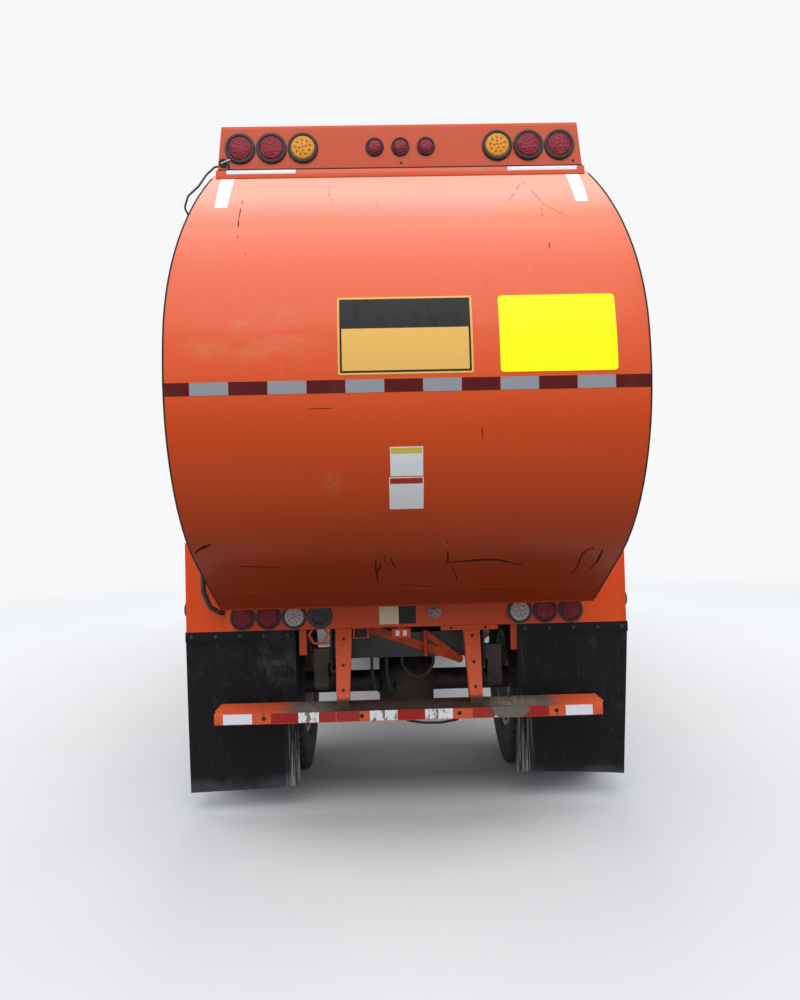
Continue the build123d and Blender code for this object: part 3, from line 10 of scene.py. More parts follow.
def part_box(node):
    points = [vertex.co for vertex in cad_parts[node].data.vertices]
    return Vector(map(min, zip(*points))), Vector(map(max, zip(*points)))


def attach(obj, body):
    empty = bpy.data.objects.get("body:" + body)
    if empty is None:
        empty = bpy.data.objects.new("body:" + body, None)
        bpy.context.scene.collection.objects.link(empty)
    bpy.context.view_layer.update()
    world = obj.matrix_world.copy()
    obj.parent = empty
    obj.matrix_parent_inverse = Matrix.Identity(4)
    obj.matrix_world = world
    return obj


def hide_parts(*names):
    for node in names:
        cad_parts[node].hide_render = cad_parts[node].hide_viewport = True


bl_info = {
    "name": "Side-arm refuse truck",
    "version": (1, 0, 0),
    "blender": (4, 5, 0),
    "location": "View3D > Sidebar > Truck",
    "description": "Finishes and details of a two-axle side-arm refuse truck",
    "category": "Object",
}

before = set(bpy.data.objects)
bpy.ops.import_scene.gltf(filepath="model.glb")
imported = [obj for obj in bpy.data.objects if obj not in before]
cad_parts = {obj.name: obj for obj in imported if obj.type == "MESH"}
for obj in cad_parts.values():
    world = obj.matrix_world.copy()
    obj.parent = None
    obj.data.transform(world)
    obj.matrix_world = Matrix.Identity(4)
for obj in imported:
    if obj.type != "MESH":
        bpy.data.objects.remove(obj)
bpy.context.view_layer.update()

# Places taken from the frame, in metres: +X is the kerb side, +Y is forward
GATE_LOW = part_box("tailgate")[0]
BAR_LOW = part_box("light_bar")[0]
REAR_LAMPS_LOW, REAR_LAMPS_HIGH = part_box("rear_lamps")
GATE_LAMPS_LOW, GATE_LAMPS_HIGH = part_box("gate_lamps")
BUMPER_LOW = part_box("rear_bumper")[0]
FLAPS_LOW, FLAPS_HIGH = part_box("mud_flaps")
BODY_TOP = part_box("body_side_right")[1].z
BOXES_LOW, BOXES_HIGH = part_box("fender_boxes")
RAILS_LOW, RAILS_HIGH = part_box("frame_rails")
CAB_FACE_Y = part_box("cab_front")[1].y
ROOF_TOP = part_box("cab_roof")[1].z
CAB_BACK_LOW, CAB_BACK_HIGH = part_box("cab_back")
CAB_HALF = CAB_BACK_HIGH.x
MIRROR_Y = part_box("mirrors")[0].y
FRONT_BUMPER_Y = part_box("front_bumper")[1].y
HOPPER_FRONT_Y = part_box("hopper")[1].y
LIFT_ARM_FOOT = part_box("lift_arm")[0].z
SLIDE_LOW, SLIDE_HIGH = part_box("arm_slide")
TANK_LOW, TANK_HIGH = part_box("fuel_tank")
FRAME_BOXES_LOW, FRAME_BOXES_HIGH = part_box("frame_boxes")
BOLSTER_Y = RAILS_LOW.y - 0.100
GATE_REACH = BOLSTER_Y - GATE_LOW.y

# Channel of the rear bumper, whose node also holds its two struts
BUMPER_TOP, BUMPER_FOOT = 0.602, 0.545

# Rolled outline of the tailgate, as distances behind the bolster and heights
UPPER_RADIUS = 1.420
LOWER_RADIUS = 0.870
BULGE_Z = 2.150
LOWER_SWEEP = radians(60)
UPPER_CENTRE = GATE_REACH - UPPER_RADIUS
LOWER_CENTRE = GATE_REACH - LOWER_RADIUS
FOOT_REACH = LOWER_CENTRE + LOWER_RADIUS * cos(LOWER_SWEEP)
FOOT_Z = BULGE_Z - LOWER_RADIUS * sin(LOWER_SWEEP)

# Barrel section of the body
BODY_HALF = 0.960
SHOULDER_Z = 2.320
SIDE_RADIUS = 2.700

# Cab shell: its front leans back above the waist
WAIST_Z = 1.440
CAB_RAKE = 0.110 / 1.120
SCREEN = (-1.040, 1.040, 1.530, 2.400)
REAR_WINDOW = (-0.700, 0.700, 1.700, 2.250)
QUARTER_WINDOW = (2.145, 2.745, 1.700, 2.300)
DOOR_WINDOW = (2.955, 3.550, 1.500, 2.300)


class TruckSizes(PropertyGroup):
    """Sizes that a user may change."""
    tape_height: FloatProperty(name="Tape height", description="Height of the reflective tape",
                               default=0.051, min=0.01, unit="LENGTH")
    tape_length: FloatProperty(name="Tape segment", description="Length of one coloured segment of the tape",
                               default=0.152, min=0.02, unit="LENGTH")
    lens_radius: FloatProperty(name="Lens radius", description="Radius of the large round lenses",
                               default=0.053, min=0.01, unit="LENGTH")
    small_lens_radius: FloatProperty(name="Small lens radius", description="Radius of the marker lenses",
                                     default=0.0315, min=0.005, unit="LENGTH")
    tread_depth: FloatProperty(name="Tread depth", description="Depth of the tyres' grooves",
                               default=0.011, min=0.001, unit="LENGTH")
    tread_steps: IntProperty(name="Tread steps", description="Steps round a tyre's tread", default=180,
                             min=60)


class TruckColours(PropertyGroup):
    """Base colours of the finishes."""
    orange: FloatVectorProperty(name="Orange paint", description="Body colour", subtype="COLOR",
                                default=(0.81, 0.082, 0.008), min=0, max=1)
    faded: FloatVectorProperty(name="Faded orange", description="Paint bleached by the sun", subtype="COLOR",
                               default=(0.88, 0.46, 0.34), min=0, max=1)
    grime: FloatVectorProperty(name="Grime", description="Road dirt on low surfaces", subtype="COLOR",
                               default=(0.10, 0.055, 0.03), min=0, max=1)
    black: FloatVectorProperty(name="Frame black", description="Paint of the chassis", subtype="COLOR",
                               default=(0.018, 0.018, 0.019), min=0, max=1)
    rubber: FloatVectorProperty(name="Rubber", description="Tyres, flaps and hoses", subtype="COLOR",
                                default=(0.011, 0.0115, 0.013), min=0, max=1)
    red: FloatVectorProperty(name="Red lens", description="Tail and marker lenses", subtype="COLOR",
                             default=(0.33, 0.018, 0.034), min=0, max=1)
    amber: FloatVectorProperty(name="Amber lens", description="Turn lenses", subtype="COLOR",
                               default=(0.95, 0.42, 0.03), min=0, max=1)


# Shader expressions
RAYS_TO_CAMERA = ("Is Camera Ray", "Is Glossy Ray", "Is Transmission Ray")
EVEN = (1, 1, 1)


class Value:
    """A shader output that can stand in an expression."""
    def __init__(self, nodes, socket):
        self.nodes = nodes
        self.socket = socket

    def maths(self, operation, *values):
        return self.nodes.node("ShaderNodeMath", {"operation": operation}, dict(enumerate(values)))

    def __add__(self, other):
        return self.maths("ADD", self, other)

    def __radd__(self, other):
        return self.maths("ADD", other, self)

    def __sub__(self, other):
        return self.maths("SUBTRACT", self, other)

    def __rsub__(self, other):
        return self.maths("SUBTRACT", other, self)

    def __mul__(self, other):
        return self.maths("MULTIPLY", self, other)

    def __rmul__(self, other):
        return self.maths("MULTIPLY", other, self)

    def __truediv__(self, other):
        return self.maths("DIVIDE", self, other)

    def __pow__(self, other):
        return self.maths("POWER", self, other)

    def __abs__(self):
        return self.maths("ABSOLUTE", self)

    def at_least(self, other):
        return self.maths("MAXIMUM", self, other)

    def at_most(self, other):
        return self.maths("MINIMUM", self, other)


class Nodes:
    """The shader nodes of a material or of the world."""
    def __init__(self, owner):
        owner.use_nodes = True
        self.tree = owner.node_tree
        self.tree.nodes.clear()

    def node(self, kind, settings=None, inputs=None, out=0):
        made = self.tree.nodes.new(kind)
        for key, value in (settings or {}).items():
            if key == "stops":
                ramp = made.color_ramp
                while len(ramp.elements) < len(value):
                    ramp.elements.new(0.5)
                for element, (at, colour) in zip(ramp.elements, value):
                    element.position = at
                    element.color = (*colour, 1)
            else:
                setattr(made, key, value)
        for key, value in (inputs or {}).items():
            if isinstance(value, Value):
                self.tree.links.new(value.socket, made.inputs[key])
            else:
                made.inputs[key].default_value = value
        return Value(self, made.outputs[out]) if made.outputs else None

    def blend(self, factor, first, second):
        """One shader where the factor is 0, the other where it is 1."""
        return self.node("ShaderNodeMixShader", {}, {0: factor, 1: first, 2: second})

    def looked_at(self):
        """1 where the surface is seen straight, mirrored or through glass; 0 where it only sends light on."""
        straight, mirrored, through = (self.node("ShaderNodeLightPath", out=name) for name in RAYS_TO_CAMERA)
        return straight.at_least(mirrored).at_least(through)


class Finish(Nodes):
    """One procedural material, built from expressions on Object coordinates."""
    def __init__(self, name):
        self.material = bpy.data.materials.new(name)
        super().__init__(self.material)
        self.place = self.node("ShaderNodeTexCoord", out="Object")
        self.x, self.y, self.z = (self.node("ShaderNodeSeparateXYZ", {}, {0: self.place}, out=i)
                                  for i in range(3))

    def noise(self, scale, detail=3.0, roughness=0.5, stretch=EVEN, distortion=0.0):
        place = self.place
        if stretch != EVEN:
            place = self.node("ShaderNodeMapping", {}, {"Vector": self.place, "Scale": stretch})
        return self.node("ShaderNodeTexNoise", {}, {"Vector": place, "Scale": scale, "Detail": detail,
                                                    "Roughness": roughness, "Distortion": distortion})

    def cells(self, scale):
        return self.node("ShaderNodeTexVoronoi", {}, {"Vector": self.place, "Scale": scale})

    def weave(self, direction):
        """Threads that run one way."""
        return self.node("ShaderNodeTexWave", {"bands_direction": direction},
                         {"Vector": self.place, "Scale": 190.0, "Distortion": 0.4})

    def ramp(self, value, low, high):
        """0 below low and 1 above high, with a smooth rise; low may lie above high."""
        return self.node("ShaderNodeMapRange", {"interpolation_type": "SMOOTHSTEP"},
                         {"Value": value, "From Min": low, "From Max": high})

    def mix(self, factor, first, second):
        first, second = ((*c, 1) if isinstance(c, tuple) and len(c) == 3 else c for c in (first, second))
        return self.node("ShaderNodeMix", {"data_type": "RGBA"}, {0: factor, 6: first, 7: second}, out=2)

    def spot(self, x, z, half_x, half_z):
        """1 in the middle of an upright patch across the truck, fading to 0 at its edge."""
        across, up = (self.x - x) / half_x, (self.z - z) / half_z
        return self.ramp(across * across + up * up, 1.0, 0.25)

    def bump(self, height, strength, distance):
        return self.node("ShaderNodeBump", {}, {"Height": height, "Strength": strength, "Distance": distance})

    def ended(self, shader):
        """Joins the shader to the output; the material is then finished."""
        self.node("ShaderNodeOutputMaterial", {}, {"Surface": shader})
        return self.material

    def surface(self, sockets):
        """Ends the material in one principled surface."""
        return self.ended(self.node("ShaderNodeBsdfPrincipled", {}, sockets))

    def patchy(self, cover, sockets, clear=(1, 1, 1, 1)):
        """Ends the material in a principled surface that lets light through where its cover is below 1."""
        through = self.node("ShaderNodeBsdfTransparent", {}, {"Color": clear})
        return self.ended(self.blend(cover, through, self.node("ShaderNodeBsdfPrincipled", {}, sockets)))


def colours():
    return bpy.context.scene.truck_colours


def sizes():
    return bpy.context.scene.truck_sizes


def own(colour):
    """A colour as three channels; a name stands for one of the user's colours."""
    return tuple(getattr(colours(), colour)) if isinstance(colour, str) else colour


def scaled(colour, gain):
    return tuple(channel * gain for channel in colour)


# Looks that several finishes share
MATT_INDEX = 1.2
PAINT_INDEX = 1.25
BACKDROP = (0.93, 0.94, 0.95, 1)
RAIN_STAIN = (0.32, 0.26, 0.2)
# Earth on the bumper: near black in the middle as painted shade, its own beige colour towards the ends
SHADED_EARTH = (0.012, 0.010, 0.007)
DRY_EARTH = (0.045, 0.038, 0.028)
EARTH_SHADE_THINS_FROM, EARTH_UNSHADED_AT = 0.34, 0.50


def painted(name, wear, grime_top, dent, shade=1.0, bleached=0.18):
    """Orange paint with a clear coat: bleached above, grimed below, streaked, chipped and slightly wavy; the
    low rear corner panels carry less dirt and are brightened as painted light, and a shade below 1 darkens
    the orange as painted shade.
    """
    f = Finish(name)
    # A shade below 1 darkens the orange as painted shade
    orange, faded, grime = scaled(own("orange"), shade), own("faded"), own("grime")
    mottle = f.noise(1.7, 4.0)
    streak = f.noise(9.0, 4.0, 0.6, (2.2, 2.2, 0.12))
    speck = f.noise(95.0, 2.0)
    bleach = f.ramp(f.z + mottle * 0.5, 2.9, 3.7) * bleached + f.ramp(mottle, 0.45, 0.75) * 0.05
    colour = f.mix(bleach, orange, faded)
    lit_and_clean_corners = f.ramp(f.y, BOXES_LOW.y + 0.12, BOXES_LOW.y + 0.02) * f.ramp(f.z, 1.75, 1.60)
    # Painted light: the low rear corner panels' orange is brightened by 1.28
    colour = f.mix(lit_and_clean_corners * f.ramp(abs(f.x), BODY_HALF - 0.03, BODY_HALF), colour, scaled(orange, 1.28))
    low_dirt = f.ramp(f.z + (mottle - 0.5) * 0.5, grime_top, grime_top - 0.9) * (1 - lit_and_clean_corners * 0.8)
    dirt = low_dirt * (0.12 + f.ramp(streak, 0.42, 0.72) * 0.45)
    dirt = (dirt + f.ramp(streak, 0.62, 0.8) * 0.10 * wear).at_most(0.85)
    colour = f.mix(dirt, colour, grime)
    dust = f.ramp(f.noise(5.0, 6.0, 0.65, (1, 1, 0.6)), 0.56, 0.78) * 0.22 * wear
    colour = f.mix(dust, colour, (0.60, 0.33, 0.20))
    chip = f.ramp(f.noise(34.0, 5.0, 0.62), 0.735 - 0.035 * wear, 0.75 - 0.035 * wear)
    colour = f.mix(chip * 0.9, colour, (0.055, 0.028, 0.018))
    rough = (0.30 + dirt * 0.42 + dust * 0.5 + chip * 0.3 + (speck - 0.5) * 0.08).at_most(0.92)
    height = f.noise(2.3, 1.0) * dent + speck * 0.00012 - chip * 0.0002
    return f.surface({"Base Color": colour, "Roughness": rough, "IOR": PAINT_INDEX,
                      "Coat Weight": (0.24 - dirt - dust).at_least(0.0), "Coat Roughness": 0.10,
                      "Normal": f.bump(height, 1.0, 1.0)})


def bumper_paint(name):
    """Bumper paint: brightened at its ends as painted light, under dried road dirt in the middle that is
    darkened further as painted shade, scraped along its edges.
    """
    f = Finish(name)
    gravel = f.noise(75.0, 6.0, 0.75)
    cloud = f.noise(6.0, 5.0, 0.6)
    middle = f.ramp(abs(f.x - 0.06) + (cloud - 0.5) * 0.22, 0.78, 0.63)
    top = f.ramp(f.z, BUMPER_TOP - 0.006, BUMPER_TOP - 0.001)
    top = top * f.ramp(f.z, BUMPER_TOP + 0.05, BUMPER_TOP + 0.02)
    cover = middle * (top + f.ramp(gravel, 0.52, 0.66) * 0.30) + top * f.ramp(gravel, 0.60, 0.72) * 0.3
    cover = cover.at_most(0.97)
    chip = f.ramp(f.noise(30.0, 5.0, 0.65), 0.66, 0.69)
    # The orange is faded a little and brightened by 1.18 as painted light
    faded_and_brightened = f.mix(0.13, scaled(own("orange"), 1.18), own("faded"))
    colour = f.mix(chip * 0.8, faded_and_brightened, (0.07, 0.030, 0.018))
    # The earth darkens towards the middle as painted shade
    unshaded = f.ramp(abs(f.x), EARTH_SHADE_THINS_FROM, EARTH_UNSHADED_AT)
    earth = f.mix(unshaded, f.mix(gravel, SHADED_EARTH, (0.10, 0.085, 0.065)),
                  f.mix(gravel, DRY_EARTH, (0.33, 0.29, 0.23)))
    colour = f.mix(cover, colour, earth)
    rough = (0.34 + cover * 0.6 + chip * 0.2).at_most(0.97)
    return f.surface({"Base Color": colour, "Roughness": rough, "IOR": PAINT_INDEX,
                      "Normal": f.bump(gravel * cover * 0.003 - chip * 0.0002, 1.0, 1.0)})


# How the tailgate pales and brightens with height, a painted sky reflection and painted light: the height,
# the share of the faded colour there and a gain in brightness
GATE_SKY_SHEEN = ((1.95, 0.01, 1.05), (2.25, 0.09, 1.13), (2.60, 0.15, 1.10), (2.74, 0.26, 1.08),
               (2.84, 0.46, 1.04), (2.96, 0.90, 1.0), (3.10, 1.0, 1.0))


def gate_paint(name):
    """Tailgate paint: a top paled by a painted sky reflection and brightened as painted light, an underside
    darkened to brown as painted shade, a dirt smear and small dings, and plain side plates.
    """
    f = Finish(name)
    orange, faded, grime = own("orange"), own("faded"), own("grime")
    mottle = f.noise(1.4, 3.0)
    streak = f.noise(11.0, 4.0, 0.6, (2.4, 2.4, 0.1))
    fine = f.noise(46.0, 5.0, 0.65)
    start, stretch = GATE_SKY_SHEEN[0][0], GATE_SKY_SHEEN[-1][0] - GATE_SKY_SHEEN[0][0]
    stops = []
    for z, share, gain in GATE_SKY_SHEEN:
        shade = tuple(min(1, (o + (w - o) * share) * gain) for o, w in zip(orange, faded))
        stops.append(((z - start) / stretch, shade))
    height_up = (f.z + (mottle - 0.5) * 0.06 - start) / stretch
    # The skin's colour by height: painted sky reflection and painted light
    skin = f.node("ShaderNodeValToRGB", {"stops": stops}, {0: height_up})
    half = (SIDE_RADIUS ** 2 - (f.z - SHOULDER_Z).at_least(0) ** 2) ** 0.5 + (BODY_HALF - SIDE_RADIUS)
    plates = f.ramp(abs(f.x) - half, -0.008, -0.003).at_least(f.ramp(f.y, BAR_LOW.y + 0.02, BAR_LOW.y + 0.08))
    bleach = f.ramp(f.z + mottle * 0.5, 2.9, 3.7) * 0.18 + f.ramp(mottle, 0.45, 0.75) * 0.05
    plain = f.mix(bleach, orange, faded)
    colour = f.mix(plates, skin, plain)
    # Painted shade: the underside darkens towards brown
    under = f.ramp(f.z + (mottle - 0.5) * 0.2, 1.75, 1.15)
    colour = f.mix(under * 0.55, colour, (0.25, 0.036, 0.012))
    wiped = f.noise(7.0, 6.0, 0.72, (0.8, 1, 2.2), 0.6)
    smear = (f.spot(-0.56, 2.36, 0.17, 0.10) + f.spot(-0.60, 2.27, 0.34, 0.09)).at_most(1.0)
    smear = smear * f.ramp(wiped, 0.42, 0.66)
    pale = f.spot(-0.317, 1.735, 0.045, 0.060) * f.ramp(fine, 0.30, 0.70) * 0.30
    film = f.ramp(f.noise(3.2, 6.0, 0.7, (1, 1, 0.5)), 0.50, 0.80) * 0.03 + f.ramp(streak, 0.6, 0.78) * 0.03
    colour = f.mix((smear * 0.30 + film + pale).at_most(0.6), colour, (0.80, 0.33, 0.17))
    spots = f.ramp(f.noise(29.0, 4.0, 0.55), 0.775, 0.79)
    colour = f.mix(spots * 0.85, colour, grime)
    rough = (0.27 + under * 0.16 + smear * 0.2 + film * 0.8 + spots * 0.3).at_most(0.9)
    height = f.noise(1.9, 1.5) * 0.0045 + fine * 0.00010 - spots * 0.0002
    return f.surface({"Base Color": colour, "Roughness": rough, "IOR": 1.2,
                      "Coat Weight": (0.16 - under * 0.16 - film).at_least(0.0), "Coat Roughness": 0.10,
                      "Normal": f.bump(height, 1.0, 1.0)})


def black_paint(name):
    f = Finish(name)
    dust = f.ramp(f.noise(6.0, 6.0, 0.65, (1, 1, 1.5)), 0.45, 0.75)
    rust = f.ramp(f.noise(21.0, 5.0, 0.6), 0.66, 0.74)
    colour = f.mix(dust * 0.55, own("black"), (0.085, 0.068, 0.052))
    colour = f.mix(rust * 0.7, colour, (0.13, 0.045, 0.018))
    return f.surface({"Base Color": colour, "Roughness": (0.48 + dust * 0.35 + rust * 0.2).at_most(0.95),
                      "Normal": f.bump(f.noise(160.0, 3.0), 0.25, 0.002)})


def cast_iron(name):
    f = Finish(name)
    grit = f.noise(120.0, 4.0)
    grease = f.ramp(f.noise(7.0, 5.0), 0.42, 0.68)
    colour = f.mix(grease, (0.075, 0.062, 0.05), (0.016, 0.014, 0.013))
    rust = f.ramp(f.noise(17.0, 5.0), 0.62, 0.72)
    colour = f.mix(rust * 0.6, colour, (0.16, 0.055, 0.02))
    rough = (0.72 - grease * 0.22).at_most(0.95)
    return f.surface({"Base Color": colour, "Metallic": 0.35, "Roughness": rough,
                      "Normal": f.bump(grit, 0.5, 0.002)})


def worn_steel(name):
    """Bare plate worn bright in streaks, with rust film between them."""
    f = Finish(name)
    streak = f.noise(13.0, 5.0, 0.6, (3.0, 0.25, 0.5))
    rust = f.ramp(f.noise(4.5, 6.0, 0.7), 0.46, 0.66)
    colour = f.mix(rust, f.mix(streak, (0.33, 0.32, 0.31), (0.55, 0.54, 0.52)), (0.19, 0.078, 0.032))
    return f.surface({"Base Color": colour, "Metallic": 0.95 - rust * 0.75,
                      "Roughness": 0.34 + rust * 0.45 + streak * 0.08,
                      "Normal": f.bump(streak + rust * 0.6, 0.25, 0.001)})


def bright_chrome(name):
    f = Finish(name)
    haze = f.ramp(f.noise(5.0, 5.0, 0.65, (1, 1, 2)), 0.5, 0.8)
    pit = f.ramp(f.noise(120.0, 2.0), 0.7, 0.76)
    return f.surface({"Base Color": f.mix(pit, (0.72, 0.73, 0.74), (0.22, 0.14, 0.09)), "Metallic": 1.0,
                      "Roughness": 0.10 + haze * 0.22 + pit * 0.3})


def polished_aluminium(name):
    f = Finish(name)
    brushed = f.noise(22.0, 4.0, 0.6, (1.0, 0.15, 6.0))
    dirt = f.ramp(f.z + f.noise(3.0, 4.0) * 0.3, 0.95, 0.45)
    return f.surface({"Base Color": f.mix(dirt * 0.55, (0.66, 0.67, 0.68), (0.21, 0.18, 0.15)),
                      "Metallic": 1.0 - dirt * 0.6, "Roughness": 0.22 + brushed * 0.16 + dirt * 0.4,
                      "Normal": f.bump(brushed, 0.10, 0.001)})


def wheel_paint(name):
    """White wheel paint with brake dust and rust round the studs."""
    f = Finish(name)
    dust = f.ramp(f.noise(8.0, 6.0, 0.65), 0.36, 0.72)
    rust = f.ramp(f.noise(26.0, 5.0), 0.63, 0.70)
    colour = f.mix(dust * 0.6, (0.58, 0.57, 0.54), (0.17, 0.13, 0.10))
    colour = f.mix(rust * 0.8, colour, (0.20, 0.07, 0.025))
    return f.surface({"Base Color": colour, "Roughness": 0.38 + dust * 0.3 + rust * 0.2,
                      "Normal": f.bump(f.noise(90.0, 3.0), 0.15, 0.001)})


def tyre_rubber(name):
    """Tyre rubber: dusty sidewalls and a scrubbed tread."""
    f = Finish(name)
    dust = f.ramp(f.noise(7.0, 6.0, 0.65), 0.38, 0.75)
    splash = f.ramp(f.noise(30.0, 4.0), 0.58, 0.70)
    colour = f.mix((dust * 0.55 + splash * 0.2).at_most(0.8), own("rubber"), (0.105, 0.092, 0.078))
    return f.surface({"Base Color": colour, "Roughness": 0.72 + dust * 0.2,
                      "Normal": f.bump(f.noise(240.0, 3.0), 0.35, 0.001)})


def flap_rubber(name):
    """Flap rubber: grey scrapes at the inner edges, cloudy scuffs in the middle, dried splash at the foot."""
    f = Finish(name)
    inner = f.ramp(abs(f.x), 0.69, 0.63)
    scrape = f.ramp(f.noise(23.0, 5.0, 0.65, (6.0, 1.0, 0.14)), 0.46, 0.62)
    low = f.ramp(f.z, 0.60, 0.44)
    haze = f.noise(6.5, 6.0, 0.68, (1.3, 1, 1.0), 0.5)
    cloud = (f.spot(-0.71, 0.83, 0.13, 0.17) * f.ramp(haze, 0.40, 0.66)
             + f.ramp(haze, 0.50, 0.78) * f.ramp(abs(f.z - 0.70), 0.34, 0.10) * 0.5)
    ticks = f.ramp(f.noise(34.0, 4.0, 0.6, (3.2, 1, 0.5)), 0.63, 0.71)
    grey = (inner * scrape * (0.10 + low * 0.90) + cloud * 0.42 + ticks * 0.16
            + f.ramp(f.z + f.noise(9.0, 4.0) * 0.12, 0.28, 0.18) * 0.34).at_most(0.9)
    colour = f.mix(grey, scaled(own("rubber"), 0.85), (0.19, 0.19, 0.20))
    colour = f.mix(inner * scrape * low * 0.55, colour, (0.42, 0.42, 0.40))
    return f.surface({"Base Color": colour, "Roughness": 0.50 + grey * 0.4, "IOR": 1.22,
                      "Normal": f.bump(f.noise(3.0, 2.0) * 0.006 + f.noise(220.0, 3.0) * 0.0002, 1.0, 1.0)})


def hose_rubber(name):
    f = Finish(name)
    dust = f.ramp(f.noise(14.0, 5.0), 0.42, 0.74)
    return f.surface({"Base Color": f.mix(dust * 0.5, own("rubber"), (0.11, 0.10, 0.085)),
                      "Roughness": 0.55 + dust * 0.3, "Normal": f.bump(f.noise(320.0, 2.0), 0.2, 0.001)})


def moulded_trim(name):
    """Grained black plastic."""
    f = Finish(name)
    grain = f.cells(420.0)
    dust = f.ramp(f.noise(5.0, 5.0), 0.5, 0.8)
    return f.surface({"Base Color": f.mix(dust * 0.3, (0.026, 0.026, 0.028), (0.12, 0.11, 0.10)),
                      "Roughness": 0.52 + dust * 0.2, "Normal": f.bump(grain, 0.25, 0.0008)})


def seat_cloth(name):
    """Woven seat cloth with a soft sheen."""
    f = Finish(name)
    warp, weft = f.weave("X"), f.weave("Z")
    worn = f.ramp(f.noise(4.0, 4.0), 0.45, 0.75)
    woven = f.mix(warp * weft, (0.035, 0.037, 0.042), (0.075, 0.077, 0.085))
    colour = f.mix(worn * 0.5, woven, (0.12, 0.115, 0.11))
    return f.surface({"Base Color": colour, "Roughness": 0.88, "Sheen Weight": 0.3,
                      "Normal": f.bump(warp + weft, 0.4, 0.0006)})


def window_glass(name):
    f = Finish(name)
    dust = f.ramp(f.noise(3.5, 5.0, 0.65), 0.45, 0.85)
    sheet = {"Base Color": (0.03, 0.04, 0.04, 1), "Roughness": 0.04 + dust * 0.25, "IOR": 1.5}
    return f.patchy(0.30 + dust * 0.16, sheet, clear=(0.55, 0.63, 0.62, 1))


def lens(name, colour, deep):
    """A moulded lens: pips under a clear face, brighter at the middle of each pip."""
    f = Finish(name)
    pips = f.cells(105.0)
    haze = f.ramp(f.noise(40.0, 4.0), 0.45, 0.75)
    shade = f.mix(f.ramp(pips, 0.25, 0.75), own(colour), deep)
    shade = f.mix(haze * 0.05, shade, (0.55, 0.50, 0.47))
    return f.surface({"Base Color": shade, "Roughness": 0.30 + haze * 0.18, "IOR": MATT_INDEX,
                      "Coat Weight": 0.16, "Coat Roughness": 0.08, "Normal": f.bump(pips, 0.18, 0.001)})


def dark_recess(name):
    """Deep unlit black, as inside a hole."""
    f = Finish(name)
    shade = f.mix(f.noise(60.0), (0.004, 0.004, 0.004), (0.012, 0.011, 0.010))
    return f.surface({"Base Color": shade, "Roughness": 0.8})


def sheeting(name, colour, shadow, wear, glow=0.0):
    """Prismatic reflective sheeting with a fine lattice, lifted and scratched in places; a glow, where given,
    is painted light.
    """
    f = Finish(name)
    lattice = f.cells(230.0)
    scuff = f.ramp(f.noise(26.0, 6.0, 0.65, (1.6, 1, 0.8)), 0.70 - 0.1 * wear, 0.78 - 0.1 * wear)
    dust = f.ramp(f.noise(9.0, 4.0), 0.45, 0.8)
    shade = f.mix(dust * 0.08, f.mix(lattice, colour, shadow), (0.26, 0.20, 0.16))
    shade = f.mix(scuff * 0.8, shade, (0.16, 0.09, 0.06))
    # Painted light: the sheeting glows, except where scuffed
    painted_glow = f.mix(scuff, (glow, glow, glow), (0.0, 0.0, 0.0))
    return f.surface({"Base Color": shade, "Roughness": 0.35 + dust * 0.2 + scuff * 0.3, "IOR": MATT_INDEX,
                      "Coat Weight": 0.12, "Coat Roughness": 0.15, "Emission Color": painted_glow,
                      "Emission Strength": 1.0, "Normal": f.bump(lattice, 0.12, 0.001)})


def printed(name, colour, stain=RAIN_STAIN, glow=(0, 0, 0)):
    """Vinyl film, a little chalky, with rain marks; a glow, where given, is painted light."""
    f = Finish(name)
    rain = f.ramp(f.noise(12.0, 5.0, 0.6, (3.0, 3.0, 0.4)), 0.5, 0.8)
    chalk = f.ramp(f.noise(55.0, 4.0), 0.60, 0.74)
    shade = f.mix(rain * 0.06 + chalk * 0.07, colour, stain)
    return f.surface({"Base Color": shade, "Roughness": 0.40 + rain * 0.2 + chalk * 0.2, "IOR": 1.3,
                      "Emission Color": (*glow, 1), "Emission Strength": 1.0,
                      "Normal": f.bump(f.noise(60.0, 2.0), 0.05, 0.001)})


def scuff_mark(name):
    """Dark transferred rubber and bare metal along a scrape, broken up along its length."""
    f = Finish(name)
    broken = f.ramp(f.noise(42.0, 5.0, 0.7), 0.29, 0.46)
    shade = f.mix(f.noise(80.0), (0.010, 0.006, 0.005), (0.055, 0.020, 0.012))
    return f.patchy(broken, {"Base Color": shade, "Roughness": 0.8, "IOR": MATT_INDEX})


def faint_scratch(name):
    """A shallow scratch that only dulls the paint."""
    f = Finish(name)
    broken = f.ramp(f.noise(60.0, 5.0, 0.7), 0.42, 0.60) * 0.19
    return f.patchy(broken, {"Base Color": (0.30, 0.10, 0.055, 1), "Roughness": 0.8, "IOR": MATT_INDEX})


def caked_dirt(name):
    """Dirt that has run down over the bumper's face, thinning out at its edges."""
    f = Finish(name)
    gravel = f.noise(75.0, 6.0, 0.75)
    shape = f.noise(26.0, 5.0, 0.65, (1.6, 1, 0.6))
    cover = f.ramp(f.spot(0.515, 0.585, 0.12, 0.055) + (shape - 0.5) * 1.1, 0.30, 0.55)
    shade = f.mix(gravel, (0.05, 0.042, 0.032), (0.36, 0.32, 0.26))
    return f.patchy(cover, {"Base Color": shade, "Roughness": 0.95})


